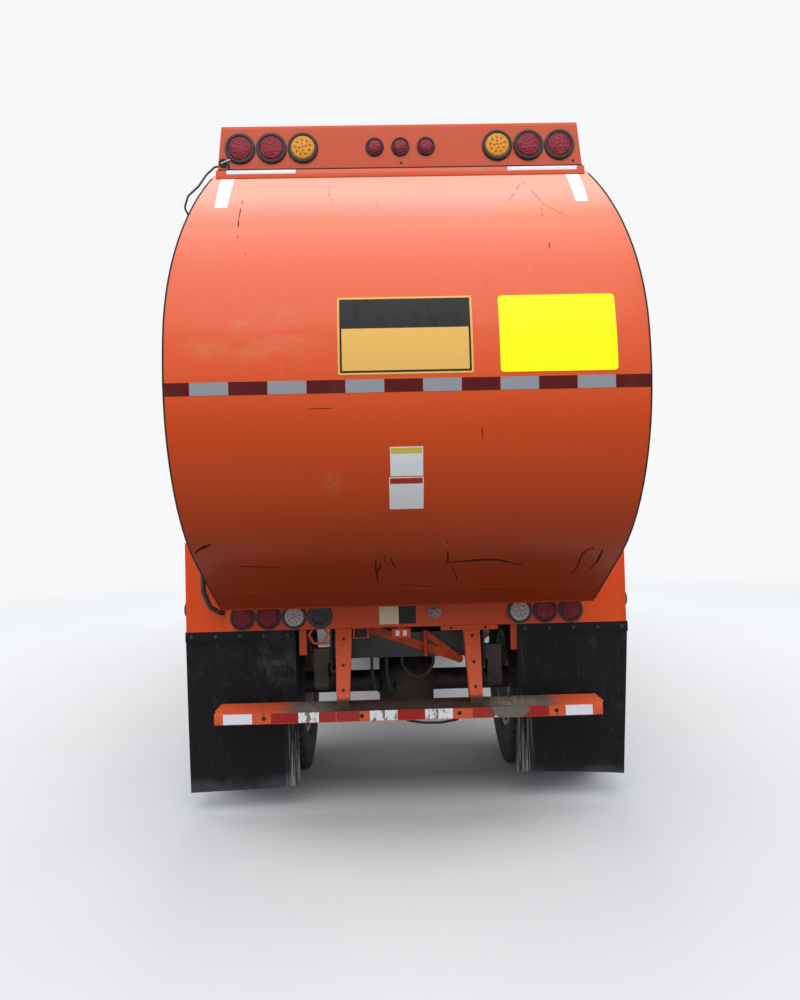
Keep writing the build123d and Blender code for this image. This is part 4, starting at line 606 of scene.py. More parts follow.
def packed_dirt(name):
    """Gravelly dirt packed on the bumper: beige towards the ends, darkened in the middle as painted shade."""
    f = Finish(name)
    gravel = f.cells(150.0)
    unshaded = f.ramp(abs(f.x), EARTH_SHADE_THINS_FROM, EARTH_UNSHADED_AT)
    grit = f.noise(90.0, 5.0, 0.7)
    shade = f.mix(unshaded, f.mix(grit, SHADED_EARTH, (0.11, 0.095, 0.07)),
                  f.mix(grit, DRY_EARTH, (0.34, 0.30, 0.24)))
    shade = f.mix(f.ramp(gravel, 0.45, 0.1) * (0.12 + unshaded * 0.38), shade, (0.43, 0.41, 0.36))
    return f.surface({"Base Color": shade, "Roughness": 0.95,
                      "Normal": f.bump(gravel + f.noise(300.0, 3.0), 0.8, 0.004)})


def bolt_steel(name):
    f = Finish(name)
    rust = f.ramp(f.noise(60.0, 4.0), 0.45, 0.65)
    return f.surface({"Base Color": f.mix(rust, (0.30, 0.29, 0.27), (0.13, 0.06, 0.03)),
                      "Metallic": 0.85 - rust * 0.6, "Roughness": 0.42 + rust * 0.35,
                      "Normal": f.bump(f.noise(300.0), 0.2, 0.0005)})


def pale_metal(name):
    f = Finish(name)
    dirt = f.ramp(f.noise(45.0, 4.0), 0.4, 0.7)
    return f.surface({"Base Color": f.mix(dirt * 0.6, (0.42, 0.39, 0.35), (0.10, 0.075, 0.055)),
                      "Roughness": 0.55 + dirt * 0.2, "Normal": f.bump(dirt, 0.2, 0.001)})


def mirror_glass(name):
    f = Finish(name)
    haze = f.ramp(f.noise(9.0, 4.0), 0.5, 0.8)
    return f.surface({"Base Color": f.mix(haze * 0.1, (0.80, 0.82, 0.83), (0.5, 0.5, 0.48)), "Metallic": 1.0,
                      "Roughness": 0.03 + haze * 0.12})


def pale_floor(name):
    """Pale floor: it takes the truck's shadow, fades into the white background and bounces little light."""
    f = Finish(name)
    away = (f.x * f.x + f.y * f.y) ** 0.5
    colour = f.mix(f.noise(1.2, 4.0), (0.70, 0.70, 0.695), (0.74, 0.74, 0.735))
    pale = f.node("ShaderNodeBsdfDiffuse", {}, {"Color": colour})
    backdrop = f.node("ShaderNodeEmission", {}, {"Color": BACKDROP})
    bounce = f.node("ShaderNodeBsdfDiffuse", {}, {"Color": (0.16, 0.16, 0.16, 1)})
    shown = f.blend(f.ramp(away, 5.5, 13.0), pale, backdrop)
    return f.ended(f.blend(f.looked_at(), bounce, shown))


# Each finish: its maker, the material's name and the maker's own values
MAKERS = {
    "orange": (painted, "orange_paint", 0.7, 1.75, 0.0016),
    "orange_worn": (painted, "orange_worn", 2.0, 1.35, 0.0008),
    # The light bar's orange is darkened to 0.80 as painted shade, and not bleached
    "bar": (painted, "light_bar_paint", 0.5, 1.0, 0.0006, 0.80, 0.0),
    "bumper": (bumper_paint, "bumper_paint"),
    "gate": (gate_paint, "tailgate_paint"),
    "frame_black": (black_paint, "frame_black"),
    "cast": (cast_iron, "cast_iron"),
    "steel": (worn_steel, "worn_steel"),
    "chrome": (bright_chrome, "chrome"),
    "aluminium": (polished_aluminium, "polished_aluminium"),
    "rim_paint": (wheel_paint, "wheel_paint"),
    "tyre": (tyre_rubber, "tyre_rubber"),
    "flap": (flap_rubber, "flap_rubber"),
    "hose": (hose_rubber, "hose_rubber"),
    "trim": (moulded_trim, "moulded_trim"),
    "cloth": (seat_cloth, "seat_cloth"),
    "glass": (window_glass, "window_glass"),
    "lens_red": (lens, "red_lens", "red", (0.20, 0.008, 0.018)),
    "lens_amber": (lens, "amber_lens", "amber", (0.78, 0.30, 0.02)),
    "lens_clear": (lens, "clear_lens", (0.72, 0.71, 0.66), (0.50, 0.49, 0.45)),
    "pip_red": (lens, "red_pip", (0.42, 0.02, 0.05), (0.25, 0.01, 0.03)),
    "pip_amber": (lens, "amber_pip", (0.62, 0.20, 0.012), (0.40, 0.11, 0.01)),
    "dark": (dark_recess, "dark_recess"),
    "tape_white": (sheeting, "white_sheeting", (0.41, 0.425, 0.45), (0.31, 0.325, 0.36), 0.15),
    "tape_red": (sheeting, "red_sheeting", (0.155, 0.007, 0.008), (0.08, 0.003, 0.004), 0.15),
    # The corner and worn white sheeting glow at 0.13 as painted light
    "tape_strip": (sheeting, "corner_sheeting", (0.88, 0.91, 0.96), (0.74, 0.78, 0.84), 0.15, 0.13),
    "tape_white_worn": (sheeting, "white_sheeting_worn", (0.92, 0.92, 0.91), (0.80, 0.80, 0.79), 1.9, 0.13),
    "tape_red_worn": (sheeting, "red_sheeting_worn", (0.58, 0.045, 0.035), (0.42, 0.030, 0.026), 1.5),
    "tape_red_bright": (sheeting, "bumper_red_sheeting", (0.56, 0.030, 0.028), (0.40, 0.018, 0.018), 0.5),
    "film_amber": (printed, "amber_film", (0.98, 0.56, 0.13)),
    "film_black": (printed, "black_film", (0.010, 0.009, 0.008), (0.08, 0.06, 0.04)),
    # The yellow and white films glow as painted light
    "film_yellow": (printed, "yellow_film", (0.88, 0.92, 0.0), RAIN_STAIN, (0.30, 0.31, 0.0)),
    "film_white": (printed, "white_film", (1.0, 1.0, 0.97), RAIN_STAIN, (0.05, 0.05, 0.05)),
    "film_cream": (printed, "cream_film", (0.98, 0.88, 0.56)),
    "film_red": (printed, "red_film", (0.52, 0.035, 0.03)),
    "film_header": (printed, "yellow_header_film", (0.86, 0.72, 0.10)),
    "scuff": (scuff_mark, "scuff_mark"),
    "faint": (faint_scratch, "faint_scratch"),
    "caked": (caked_dirt, "caked_dirt"),
    "dirt": (packed_dirt, "packed_dirt"),
    "bolt": (bolt_steel, "bolt_steel"),
    "pale_fitting": (pale_metal, "pale_fitting"),
    "mirror": (mirror_glass, "mirror_glass"),
    "floor": (pale_floor, "pale_floor"),
}
finishes = {}


def finish(name):
    """The named finish's material, made on first use."""
    if name not in finishes:
        maker, *values = MAKERS[name]
        finishes[name] = maker(*values)
    return finishes[name]


# Mesh shapes: each returns a bmesh that a piece takes in
REARWARD, FORWARD, UPWARD = (0, -1, 0), (0, 1, 0), (0, 0, 1)
SKIN_GAP = 0.0003
SLICE = 0.03
CORNER_STEPS = 5
SCRAPE_LIFT, SCRAPE_GAP = 0.0006, 0.0001


def pour(target, source):
    """Moves one bmesh's geometry into another."""
    carrier = bpy.data.meshes.new("carrier")
    source.to_mesh(carrier)
    source.free()
    target.from_mesh(carrier)
    bpy.data.meshes.remove(carrier)


def outward(bm):
    """Turns all faces of a closed mesh outward."""
    bmesh.ops.recalc_face_normals(bm, faces=bm.faces[:])
    return bm


def turned_to(axis):
    """A rotation that takes +Z to an axis."""
    return Vector(UPWARD).rotation_difference(Vector(axis).normalized()).to_matrix().to_4x4()


def block(low, high, bevel=0.0, segments=2):
    low, high = Vector(map(min, low, high)), Vector(map(max, low, high))
    bm = bmesh.new()
    place = Matrix.Translation((low + high) / 2) @ Matrix.Diagonal((*(high - low), 1))
    bmesh.ops.create_cube(bm, size=1.0, matrix=place)
    if bevel:
        bmesh.ops.bevel(bm, geom=bm.edges[:], offset=bevel, segments=segments, affect="EDGES", profile=0.5,
                        material=-1)
    return bm


def rod(start, end, radius, sides, bevel=0.0):
    start, end = Vector(start), Vector(end)
    bm = bmesh.new()
    place = Matrix.Translation((start + end) / 2) @ turned_to(end - start)
    bmesh.ops.create_cone(bm, cap_ends=True, segments=sides, radius1=radius, radius2=radius,
                          depth=(end - start).length, matrix=place)
    if bevel:
        rims = [e for e in bm.edges if any(len(face.verts) > 4 for face in e.link_faces)]
        bmesh.ops.bevel(bm, geom=rims, offset=bevel, segments=2, affect="EDGES", profile=0.5, material=-1)
    return bm


def spun(outline, centre, axis, steps):
    """A closed solid of revolution: the outline holds (distance along the axis, radius) pairs."""
    bm = bmesh.new()
    ring = [bm.verts.new((radius, 0, along)) for along, radius in outline]
    edges = [bm.edges.new(pair) for pair in zip(ring, ring[1:])]
    if outline[0][1] > 0 or outline[-1][1] > 0:
        edges.append(bm.edges.new((ring[-1], ring[0])))
    bmesh.ops.spin(bm, geom=ring + edges, cent=(0, 0, 0), axis=(0, 0, 1), dvec=(0, 0, 0), angle=2 * pi,
                   steps=steps, use_merge=True)
    bmesh.ops.remove_doubles(bm, verts=bm.verts[:], dist=1e-6)
    outward(bm)
    bmesh.ops.transform(bm, matrix=Matrix.Translation(centre) @ turned_to(axis), verts=bm.verts[:])
    return bm


def cap(centre, axis, radius, rim, height, crown, steps):
    """A round cap: straight up to its rim, then bevelled to a flat crown."""
    return spun([(0, 0), (0, radius), (rim, radius), (height, crown), (height, 0)], centre, axis, steps)


def bolt(centre, axis, size):
    """A washer and a hexagon head with a turned face."""
    centre, axis = Vector(centre), Vector(axis).normalized()
    bm = rod(centre, centre + axis * size * 0.13, size * 0.62, 18)
    head = rod(centre + axis * size * 0.13, centre + axis * size * 0.62, size * 0.5, 6)
    tops = [face for face in head.faces if face.normal.dot(axis) > 0.9]
    bmesh.ops.inset_region(head, faces=tops, thickness=size * 0.06, depth=size * 0.05)
    pour(bm, head)
    return bm


def tube(points, radius, smooth=True, sides=3, closed=False):
    """A round tube along a line through or near the points, with capped ends or closed into a ring."""
    curve = bpy.data.curves.new("route", "CURVE")
    curve.dimensions = "3D"
    curve.bevel_depth = radius
    curve.bevel_resolution = sides
    curve.use_fill_caps = True
    curve.resolution_u = 8
    spline = curve.splines.new("NURBS" if smooth else "POLY")
    spline.points.add(len(points) - 1)
    for point, place in zip(spline.points, points):
        point.co = (*place, 1)
    if closed:
        spline.use_cyclic_u = True
    elif smooth:
        spline.order_u = min(4, len(points))
        spline.use_endpoint_u = True
    carrier = bpy.data.objects.new("route", curve)
    bpy.context.scene.collection.objects.link(carrier)
    mesh = bpy.data.meshes.new_from_object(carrier.evaluated_get(bpy.context.evaluated_depsgraph_get()))
    bm = bmesh.new()
    bm.from_mesh(mesh)
    bmesh.ops.remove_doubles(bm, verts=bm.verts[:], dist=1e-6)
    outward(bm)
    bpy.data.objects.remove(carrier)
    bpy.data.curves.remove(curve)
    bpy.data.meshes.remove(mesh)
    return bm


def bead(points, radius, sides=3, closed=False):
    """A tube with straight stretches from point to point."""
    return tube(points, radius, smooth=False, sides=sides, closed=closed)


def gate_reach(z):
    """How far the tailgate's skin lies behind the bolster at a height."""
    if z >= BULGE_Z:
        return UPPER_CENTRE + sqrt(UPPER_RADIUS ** 2 - (z - BULGE_Z) ** 2)
    if z >= FOOT_Z:
        return LOWER_CENTRE + sqrt(LOWER_RADIUS ** 2 - (z - BULGE_Z) ** 2)
    return FOOT_REACH - (FOOT_Z - z) * tan(LOWER_SWEEP)


def gate_normal(z):
    """Which way the tailgate's skin faces at a height."""
    if z >= BULGE_Z:
        turn = asin((z - BULGE_Z) / UPPER_RADIUS)
    elif z > FOOT_Z:
        turn = asin((z - BULGE_Z) / LOWER_RADIUS)
    else:
        turn = -LOWER_SWEEP
    return Vector((0, -cos(turn), sin(turn)))


def on_gate(x, z, lift):
    """A point on the tailgate's skin, lifted off it."""
    return Vector((x, BOLSTER_Y - gate_reach(z), z)) + gate_normal(z) * lift


def body_half_at(z):
    """Half width of the barrel-sided body at a height."""
    return BODY_HALF - SIDE_RADIUS + sqrt(SIDE_RADIUS ** 2 - max(z - SHOULDER_Z, 0) ** 2)


def wrapped(corners, place, thickness, radius=0.0):
    """A thin sheet on a curved skin: an outline of (x, z) corners, rounded, sliced and bent by place()."""
    bm = bmesh.new()
    bm.faces.new([bm.verts.new((x, 0, z)) for x, z in corners])
    if radius:
        bmesh.ops.bevel(bm, geom=bm.verts[:], offset=radius, segments=5, affect="VERTICES", profile=0.5,
                        material=-1)
    low, high = (end(v.co.z for v in bm.verts) for end in (min, max))
    count = max(1, int((high - low) / SLICE))
    for i in range(1, count):
        bmesh.ops.bisect_plane(bm, geom=bm.verts[:] + bm.edges[:] + bm.faces[:],
                               plane_co=(0, 0, low + (high - low) * i / count), plane_no=(0, 0, 1))
    flat = [v.co.copy() for v in bm.verts]
    for v, at in zip(bm.verts, flat):
        v.co = place(at.x, at.z, SKIN_GAP)
    bm.normal_update()
    away = place(flat[0].x, flat[0].z, 1.0) - place(flat[0].x, flat[0].z, 0.0)
    bm.faces.ensure_lookup_table()
    if bm.faces[0].normal.dot(away) < 0:
        bmesh.ops.reverse_faces(bm, faces=bm.faces[:])
    skin = {v: i for i, v in enumerate(bm.verts)}
    for v in extruded(bm):
        nearest = min(skin, key=lambda old: (old.co - v.co).length_squared)
        at = flat[skin[nearest]]
        v.co = place(at.x, at.z, SKIN_GAP + thickness)
    return outward(bm)


def extruded(bm):
    """Extrudes all faces in place and returns the new layer's vertices."""
    made = bmesh.ops.extrude_face_region(bm, geom=bm.faces[:])
    return [g for g in made["geom"] if isinstance(g, bmesh.types.BMVert)]


def rounded_loop(low_a, high_a, low_b, high_b, radius, place):
    """Points round a rounded rectangle, each placed by place(a, b)."""
    points = []
    for a, b, start in ((high_a - radius, low_b + radius, -90), (high_a - radius, high_b - radius, 0),
                        (low_a + radius, high_b - radius, 90), (low_a + radius, low_b + radius, 180)):
        for i in range(CORNER_STEPS + 1):
            turn = radians(start + 90 * i / CORNER_STEPS)
            points.append(place(a + cos(turn) * radius, b + sin(turn) * radius))
    return points


def cab_face(z):
    """Front face of the cab at a height."""
    return CAB_FACE_Y - max(z - WAIST_Z, 0) * CAB_RAKE


def rectangle(x_low, x_high, z_low, z_high):
    return [(x_low, z_low), (x_high, z_low), (x_high, z_high), (x_low, z_high)]


def ribbon(points, width, place):
    """A scrape: a thin tapering strip along (x, z) points on a skin, closed all round."""
    bm = bmesh.new()
    spine = [Vector((x, 0, z)) for x, z in points]
    line = []
    for start, end in zip(spine, spine[1:]):
        steps = max(1, int((end - start).length / SLICE))
        line += [start.lerp(end, i / steps) for i in range(steps)]
    line.append(spine[-1])
    rails = []
    for i, at in enumerate(line):
        ahead = (line[min(i + 1, len(line) - 1)] - line[max(i - 1, 0)]).normalized()
        side = Vector((-ahead.z, 0, ahead.x))
        half = width / 2 * (0.35 + 0.65 * sin(pi * min(max(i / (len(line) - 1), 0.08), 0.92)))
        half *= 0.75 + 0.5 * noise.noise(at * 37.0)
        edges = (at - side * half, at + side * half)
        rails.append([bm.verts.new(place(edge.x, edge.z, SCRAPE_LIFT)) for edge in edges])
    for (a, b), (c, d) in zip(rails, rails[1:]):
        bm.faces.new((a, b, d, c))
    bm.normal_update()
    away = place(*points[0], 1.0) - place(*points[0], 0.0)
    for face in bm.faces:
        if face.normal.dot(away) < 0:
            face.normal_flip()
    bm.normal_update()
    bmesh.ops.solidify(bm, geom=bm.faces[:], thickness=SCRAPE_LIFT - SCRAPE_GAP)
    return bm


class Piece:
    """A mesh piece under construction, with one material slot for each finish it uses."""
    def __init__(self, name):
        self.name = name
        self.bm = bmesh.new()
        self.names = []

    def take(self, part, finish_name):
        """Adds a shape in a finish."""
        if finish_name not in self.names:
            self.names.append(finish_name)
        index = self.names.index(finish_name)
        for face in part.faces:
            face.material_index = index
        pour(self.bm, part)

    def done(self, body, slot, *replaced, sharp=35):
        """Finishes the mesh and makes it ride on a body."""
        mesh = bpy.data.meshes.new(self.name)
        self.bm.to_mesh(mesh)
        self.bm.free()
        mesh.polygons.foreach_set("use_smooth", [True] * len(mesh.polygons))
        mesh.set_sharp_from_angle(angle=radians(sharp))
        for name in self.names:
            mesh.materials.append(finish(name))
        piece = bpy.data.objects.new(self.name, mesh)
        bpy.context.scene.collection.objects.link(piece)
        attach(piece, body)
        if replaced:
            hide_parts(*replaced)


# Finishes of the carried-over nodes
NODE_FINISHES = {
    "orange": ("body_side_left", "body_side_right", "body_roof", "hopper", "rear_frame", "fender_boxes",
               "cab_roof", "cab_front", "cab_back", "door_left", "door_right"),
    "bar": ("light_bar",),
    "bumper": ("rear_bumper",),
    "gate": ("tailgate",),
    "orange_worn": ("rear_fittings", "arm_rail", "arm_slide", "lift_arm", "finger_front", "finger_rear",
                    "cylinder_barrel_left", "cylinder_barrel_right", "body_floor"),
    "frame_black": ("frame_rails", "front_axle", "frame_boxes"),
    "cast": ("rear_axle", "engine_block", "knuckle_left", "knuckle_right"),
    "steel": ("packer_blade", "muffler"),
    "chrome": ("front_bumper", "cylinder_rod_left", "cylinder_rod_right"),
    "aluminium": ("fuel_tank",),
    "rim_paint": ("rim_front_left", "rim_front_right", "rim_rear_left", "rim_rear_right"),
    "trim": ("cab_floor", "cab_tunnel", "dash", "mirrors"),
    "glass": ("cab_glass", "door_glass_left", "door_glass_right"),
    "hose": ("chassis_leads", "lamp_lead"),
    "lens_clear": ("headlamps",),
    "cloth": ("seats",),
    "tyre": ("tyre_front_left", "tyre_front_right", "tyre_rear_left", "tyre_rear_right"),
    "flap": ("mud_flaps",),
    "lens_red": ("rear_lamps", "gate_lamps"),
}


class TRUCK_OT_finishes(Operator):
    """Gives each carried-over node its finish"""
    bl_idname = "truck.finishes"
    bl_label = "Node finishes"

    def execute(self, context):
        for finish_name, nodes in NODE_FINISHES.items():
            for node in nodes:
                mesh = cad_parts[node].data
                mesh.materials.clear()
                mesh.materials.append(finish(finish_name))
        return {"FINISHED"}


# Lamps
REAR_LAMP_X = (-0.895, -0.755, -0.615, -0.475, 0.615, 0.755, 0.895)
REAR_LAMP_KINDS = ("lens_red", "lens_red", "lens_clear", "empty", "lens_clear", "lens_red", "lens_red")
BAR_LAMP_X = (-0.715, -0.575, -0.435, 0.435, 0.575, 0.715)
BAR_LAMP_KINDS = ("lens_red", "lens_red", "lens_amber", "lens_amber", "lens_red", "lens_red")
MARKER_X = (-0.115, 0.0, 0.115)
LAMP_RADIUS = 0.068
MARKER_RADIUS = 0.041
LED_RINGS = ((1, 0.0), (4, 0.28), (9, 0.60))
MARKER_RINGS = ((1, 0.0), (3, 0.42))
LAMP_PIPS = {"lens_red": "pip_red", "lens_amber": "pip_amber", "lens_clear": "pale_fitting"}


def lamp(piece, centre, axis, outer, lens_radius, finish_name, rings):
    """A round lamp on a face: rubber grommet with a rolled lip, domed lens with a bezel, rings of pips."""
    grommet = [(0.0004, lens_radius + 0.0005), (0.0004, outer - 0.003), (0.004, outer),
               (0.009, outer - 0.001), (0.0125, outer - 0.006), (0.0125, lens_radius + 0.004),
               (0.010, lens_radius + 0.0005)]
    piece.take(spun(grommet, centre, axis, 48), "hose")
    dome = [(0.001, 0.0), (0.001, lens_radius), (0.007, lens_radius), (0.0105, lens_radius * 0.94),
            (0.012, lens_radius * 0.80), (0.0135, lens_radius * 0.45), (0.014, 0.0)]
    piece.take(spun(dome, centre, axis, 48), finish_name)
    bezel = [(0.0100, lens_radius * 0.86), (0.0128, lens_radius * 0.86), (0.0134, lens_radius * 0.82),
             (0.0128, lens_radius * 0.78), (0.0100, lens_radius * 0.78)]
    piece.take(spun(bezel, centre, axis, 48), finish_name)
    turned = turned_to(axis)
    dot = [(-0.001, 0.0), (-0.001, 0.0058), (0.0012, 0.0058), (0.0024, 0.0035), (0.0028, 0.0)]
    for count, ring in rings:
        for i in range(count):
            turn = 2 * pi * i / count + ring * 40
            at = Vector((cos(turn) * lens_radius * ring, sin(turn) * lens_radius * ring, 0.0125))
            piece.take(spun(dot, Vector(centre) + turned @ at, axis, 12), LAMP_PIPS[finish_name])


def large_lamp(piece, centre, kind):
    lamp(piece, centre, REARWARD, LAMP_RADIUS, sizes().lens_radius, kind, LED_RINGS)


def marker(piece, centre, axis, kind):
    lamp(piece, centre, axis, MARKER_RADIUS, sizes().small_lens_radius, kind, MARKER_RINGS)


def blank_grommet(centre):
    """The grommet of a lamp hole that holds no lamp, closed at its back."""
    outline = [(0.0004, 0.0), (0.0004, LAMP_RADIUS - 0.002), (0.006, LAMP_RADIUS),
               (0.011, LAMP_RADIUS - 0.006), (0.011, 0.046), (0.003, 0.043), (0.003, 0.0)]
    return spun(outline, centre, REARWARD, 48)


class TRUCK_OT_lamps(Operator):
    """Builds the round lamps of the bolster and of the light bar"""
    bl_idname = "truck.lamps"
    bl_label = "Round lamps"

    def execute(self, context):
        z = (REAR_LAMPS_LOW.z + REAR_LAMPS_HIGH.z) / 2
        rear = Piece("rear_round_lamps")
        for x, kind in zip(REAR_LAMP_X, REAR_LAMP_KINDS):
            if kind == "empty":
                rear.take(blank_grommet((x, BOLSTER_Y, z)), "hose")
            else:
                large_lamp(rear, (x, BOLSTER_Y, z), kind)
        rear.done("chassis", "lamp_red", "rear_lamps")
        z = (GATE_LAMPS_LOW.z + GATE_LAMPS_HIGH.z) / 2
        bar = Piece("bar_round_lamps")
        for x, kind in zip(BAR_LAMP_X, BAR_LAMP_KINDS):
            large_lamp(bar, (x, BAR_LOW.y, z), kind)
        for x in MARKER_X:
            marker(bar, (x, BAR_LOW.y, z), REARWARD, "lens_red")
        bar.done("tailgate", "lamp_red", "gate_lamps")
        return {"FINISHED"}


# Tailgate trim
TAPE_Z = 2.1025
SIGN_AMBER = (-0.276, 0.256, 2.146, 2.460)
SIGN_AMBER_SPLIT = 2.330
SIGN_YELLOW = (0.362, 0.826, 2.146, 2.458)
DECAL_TOP = (-0.080, 0.052, 1.752, 1.866)
DECAL_LOW = (-0.086, 0.054, 1.620, 1.748)
CORNER_TAPES = (((-0.799, 3.100), (-0.738, 3.100), (-0.742, 2.909), (-0.796, 2.909)),
                ((0.735, 3.100), (0.795, 3.100), (0.793, 2.917), (0.740, 2.917)))
GATE_SCRAPES = (
    (0.013, ((0.160, 1.475), (0.169, 1.420), (0.173, 1.385), (0.168, 1.371))),
    (0.011, ((0.168, 1.371), (0.222, 1.378), (0.345, 1.384), (0.400, 1.381), (0.470, 1.364), (0.520, 1.350))),
    (0.007, ((0.518, 1.374), (0.518, 1.350))),
    (0.009, ((0.415, 1.346), (0.423, 1.343))),
    (0.006, ((0.194, 1.358), (0.215, 1.315), (0.232, 1.285))),
    (0.010, ((0.222, 1.296), (0.231, 1.276))),
    (0.011, ((-0.153, 1.398), (-0.155, 1.360), (-0.148, 1.275))),
    (0.008, ((-0.148, 1.330), (-0.135, 1.360), (-0.130, 1.380))),
    (0.010, ((-0.134, 1.407), (-0.125, 1.417))),
    (0.011, ((-0.112, 1.419), (-0.110, 1.380))),
    (0.010, ((-0.089, 1.412), (-0.080, 1.385), (-0.064, 1.351))),
    (0.012, ((0.768, 1.294), (0.786, 1.330), (0.781, 1.372), (0.780, 1.402), (0.796, 1.420), (0.821, 1.426))),
    (0.014, ((0.850, 1.319), (0.866, 1.356), (0.866, 1.388), (0.862, 1.423))),
    (0.012, ((-0.939, 1.450), (-0.912, 1.468), (-0.886, 1.478), (-0.858, 1.487))),
    (0.006, ((-0.767, 1.379), (-0.680, 1.375), (-0.600, 1.370))),
    (0.007, ((-0.682, 2.951), (-0.681, 2.930))),
    (0.007, ((-0.685, 2.905), (-0.686, 2.870), (-0.687, 2.848))),
    (0.006, ((-0.687, 2.842), (-0.686, 2.820), (-0.686, 2.798))),
    (0.007, ((-0.684, 2.758), (-0.683, 2.742))),
    (0.007, ((0.286, 1.931), (0.290, 1.895))),
    (0.004, ((-0.398, 2.018), (-0.300, 2.020))),
    (0.008, ((0.593, 2.693), (0.590, 2.670))),
    (0.007, ((0.586, 2.879), (0.586, 2.872))),
    (0.007, ((0.584, 2.847), (0.584, 2.840))),
    (0.007, ((-0.646, 2.670), (-0.646, 2.664))),
)
FAINT_SCRATCHES = (
    (0.009, ((0.534, 3.054), (0.512, 3.020), (0.490, 2.985), (0.451, 2.922))),
    (0.011, ((0.534, 3.054), (0.563, 2.983), (0.594, 2.909), (0.644, 2.862), (0.693, 2.829))),
    (0.009, ((-0.314, 3.039), (-0.316, 2.971), (-0.291, 2.928))),
    (0.007, ((-0.108, 2.955), (-0.106, 2.875))),
    (0.008, ((0.334, 2.543), (0.314, 2.501))),
    (0.008, ((-0.050, 1.262), (0.040, 1.252), (0.110, 1.240))),
)
TAPE_INSET = 0.004
TAPE_FIRST = 0.100
TAPE_THICKNESS = 0.0005
SIGN_THICKNESS = 0.0012
SIGN_RIM = 0.008
LABEL_RIM, LABEL_CAP = 0.004, 0.026
TOP_BAND_LOW, TOP_BAND_HIGH = 3.104, 3.141
TOP_STRIPS = ((-0.774, -0.468), (0.476, 0.787))
GATE_FOOT_Z, FOLD_Z, LIP_Z = 1.150, 1.236, 1.134
STUB_LEAD = ((-0.800, 0.003, 3.178), (-0.786, 0.008, 3.182), (-0.770, 0.009, 3.189), (-0.752, 0.006, 3.196))
STUB_SLEEVE = ((-0.772, 0.004, 3.188), (-0.766, 0.012, 3.176), (-0.768, 0.011, 3.160), (-0.764, 0.005, 3.146))


def tape_segments(low, high, length, shortest, first=None):
    """Start, end and finish of a tape's segments, red and white by turns; the last one is cut to fit."""
    start, index = low, 0
    while start < high - shortest:
        stop = min(start + (first if first and index == 0 else length), high)
        yield start, stop, "tape_white" if index % 2 else "tape_red"
        start, index = stop, index + 1


def above_gate(lift):
    """A place on the tailgate for a sheet that lies on other sheets."""
    return lambda x, z, more: on_gate(x, z, more + lift)


def inset(sheet, rim):
    left, right, low, high = sheet
    return left + rim, right - rim, low + rim, high - rim


def gate_tape():
    """The tape across the tailgate and the two strips at its upper corners."""
    half, edge = sizes().tape_height / 2, BODY_HALF - TAPE_INSET
    tape = Piece("gate_tape")
    for left, right, kind in tape_segments(-edge, edge, sizes().tape_length, 0.01, TAPE_FIRST):
        outline = rectangle(left, right - 0.0012, TAPE_Z - half, TAPE_Z + half)
        tape.take(wrapped(outline, on_gate, TAPE_THICKNESS), kind)
    for corners in CORNER_TAPES:
        tape.take(wrapped(corners, on_gate, TAPE_THICKNESS), "tape_strip")
    tape.done("tailgate", "lamp_clear")


def blank_signs():
    """The amber sign with its black border, the yellow sign and two small labels, all blank."""
    signs = Piece("gate_blank_signs")
    signs.take(wrapped(rectangle(*SIGN_AMBER), on_gate, SIGN_THICKNESS, 0.006), "film_amber")
    border = rectangle(*inset(SIGN_AMBER, SIGN_RIM))
    signs.take(wrapped(border, above_gate(SIGN_THICKNESS + 0.0001), 0.0003), "film_black")
    left, right, low, _ = inset(SIGN_AMBER, 2 * SIGN_RIM)
    field = rectangle(left, right, low, SIGN_AMBER_SPLIT)
    signs.take(wrapped(field, above_gate(SIGN_THICKNESS + 0.0005), 0.0003), "film_amber")
    signs.take(wrapped(rectangle(*SIGN_YELLOW), on_gate, SIGN_THICKNESS, 0.014), "film_yellow")
    for label, colour in ((DECAL_TOP, "film_header"), (DECAL_LOW, "film_red")):
        signs.take(wrapped(rectangle(*label), on_gate, 0.0004), "film_white")
        left, right, _, high = label
        head = rectangle(left + LABEL_RIM, right - LABEL_RIM, high - LABEL_CAP, high - LABEL_RIM)
        signs.take(wrapped(head, above_gate(0.0005), 0.0002), colour)
    signs.done("tailgate", "lamp_clear")


def gate_scrapes():
    scrapes = Piece("gate_scrapes")
    for marks, look in ((GATE_SCRAPES, "scuff"), (FAINT_SCRATCHES, "faint")):
        for width, points in marks:
            scrapes.take(ribbon(points, width, on_gate), look)
    scrapes.done("tailgate", "orange_paint")


def top_band(edge):
    """The turned-over band along the tailgate's top, with a dark strip of painted shadow under the light bar
    and two pale strips.
    """
    y = BOLSTER_Y - gate_reach(TOP_BAND_LOW) - 0.001
    half_low, half_high = body_half_at(TOP_BAND_LOW) - 0.022, body_half_at(TOP_BAND_HIGH) - 0.020
    edge.take(block((-half_low, y - 0.004, TOP_BAND_LOW), (half_low, y + 0.010, TOP_BAND_HIGH), 0.002),
              "orange")
    # Painted shadow: a dark strip stands for the shadow gap under the light bar
    edge.take(block((-half_high, y - 0.0055, TOP_BAND_HIGH - 0.001),
                    (half_high, y + 0.03, TOP_BAND_HIGH + 0.0035), 0.001), "dark")
    for left, right in TOP_STRIPS:
        edge.take(block((left, y - 0.0048, TOP_BAND_HIGH - 0.019), (right, y - 0.0035, TOP_BAND_HIGH - 0.002),
                        0.0003), "tape_strip")


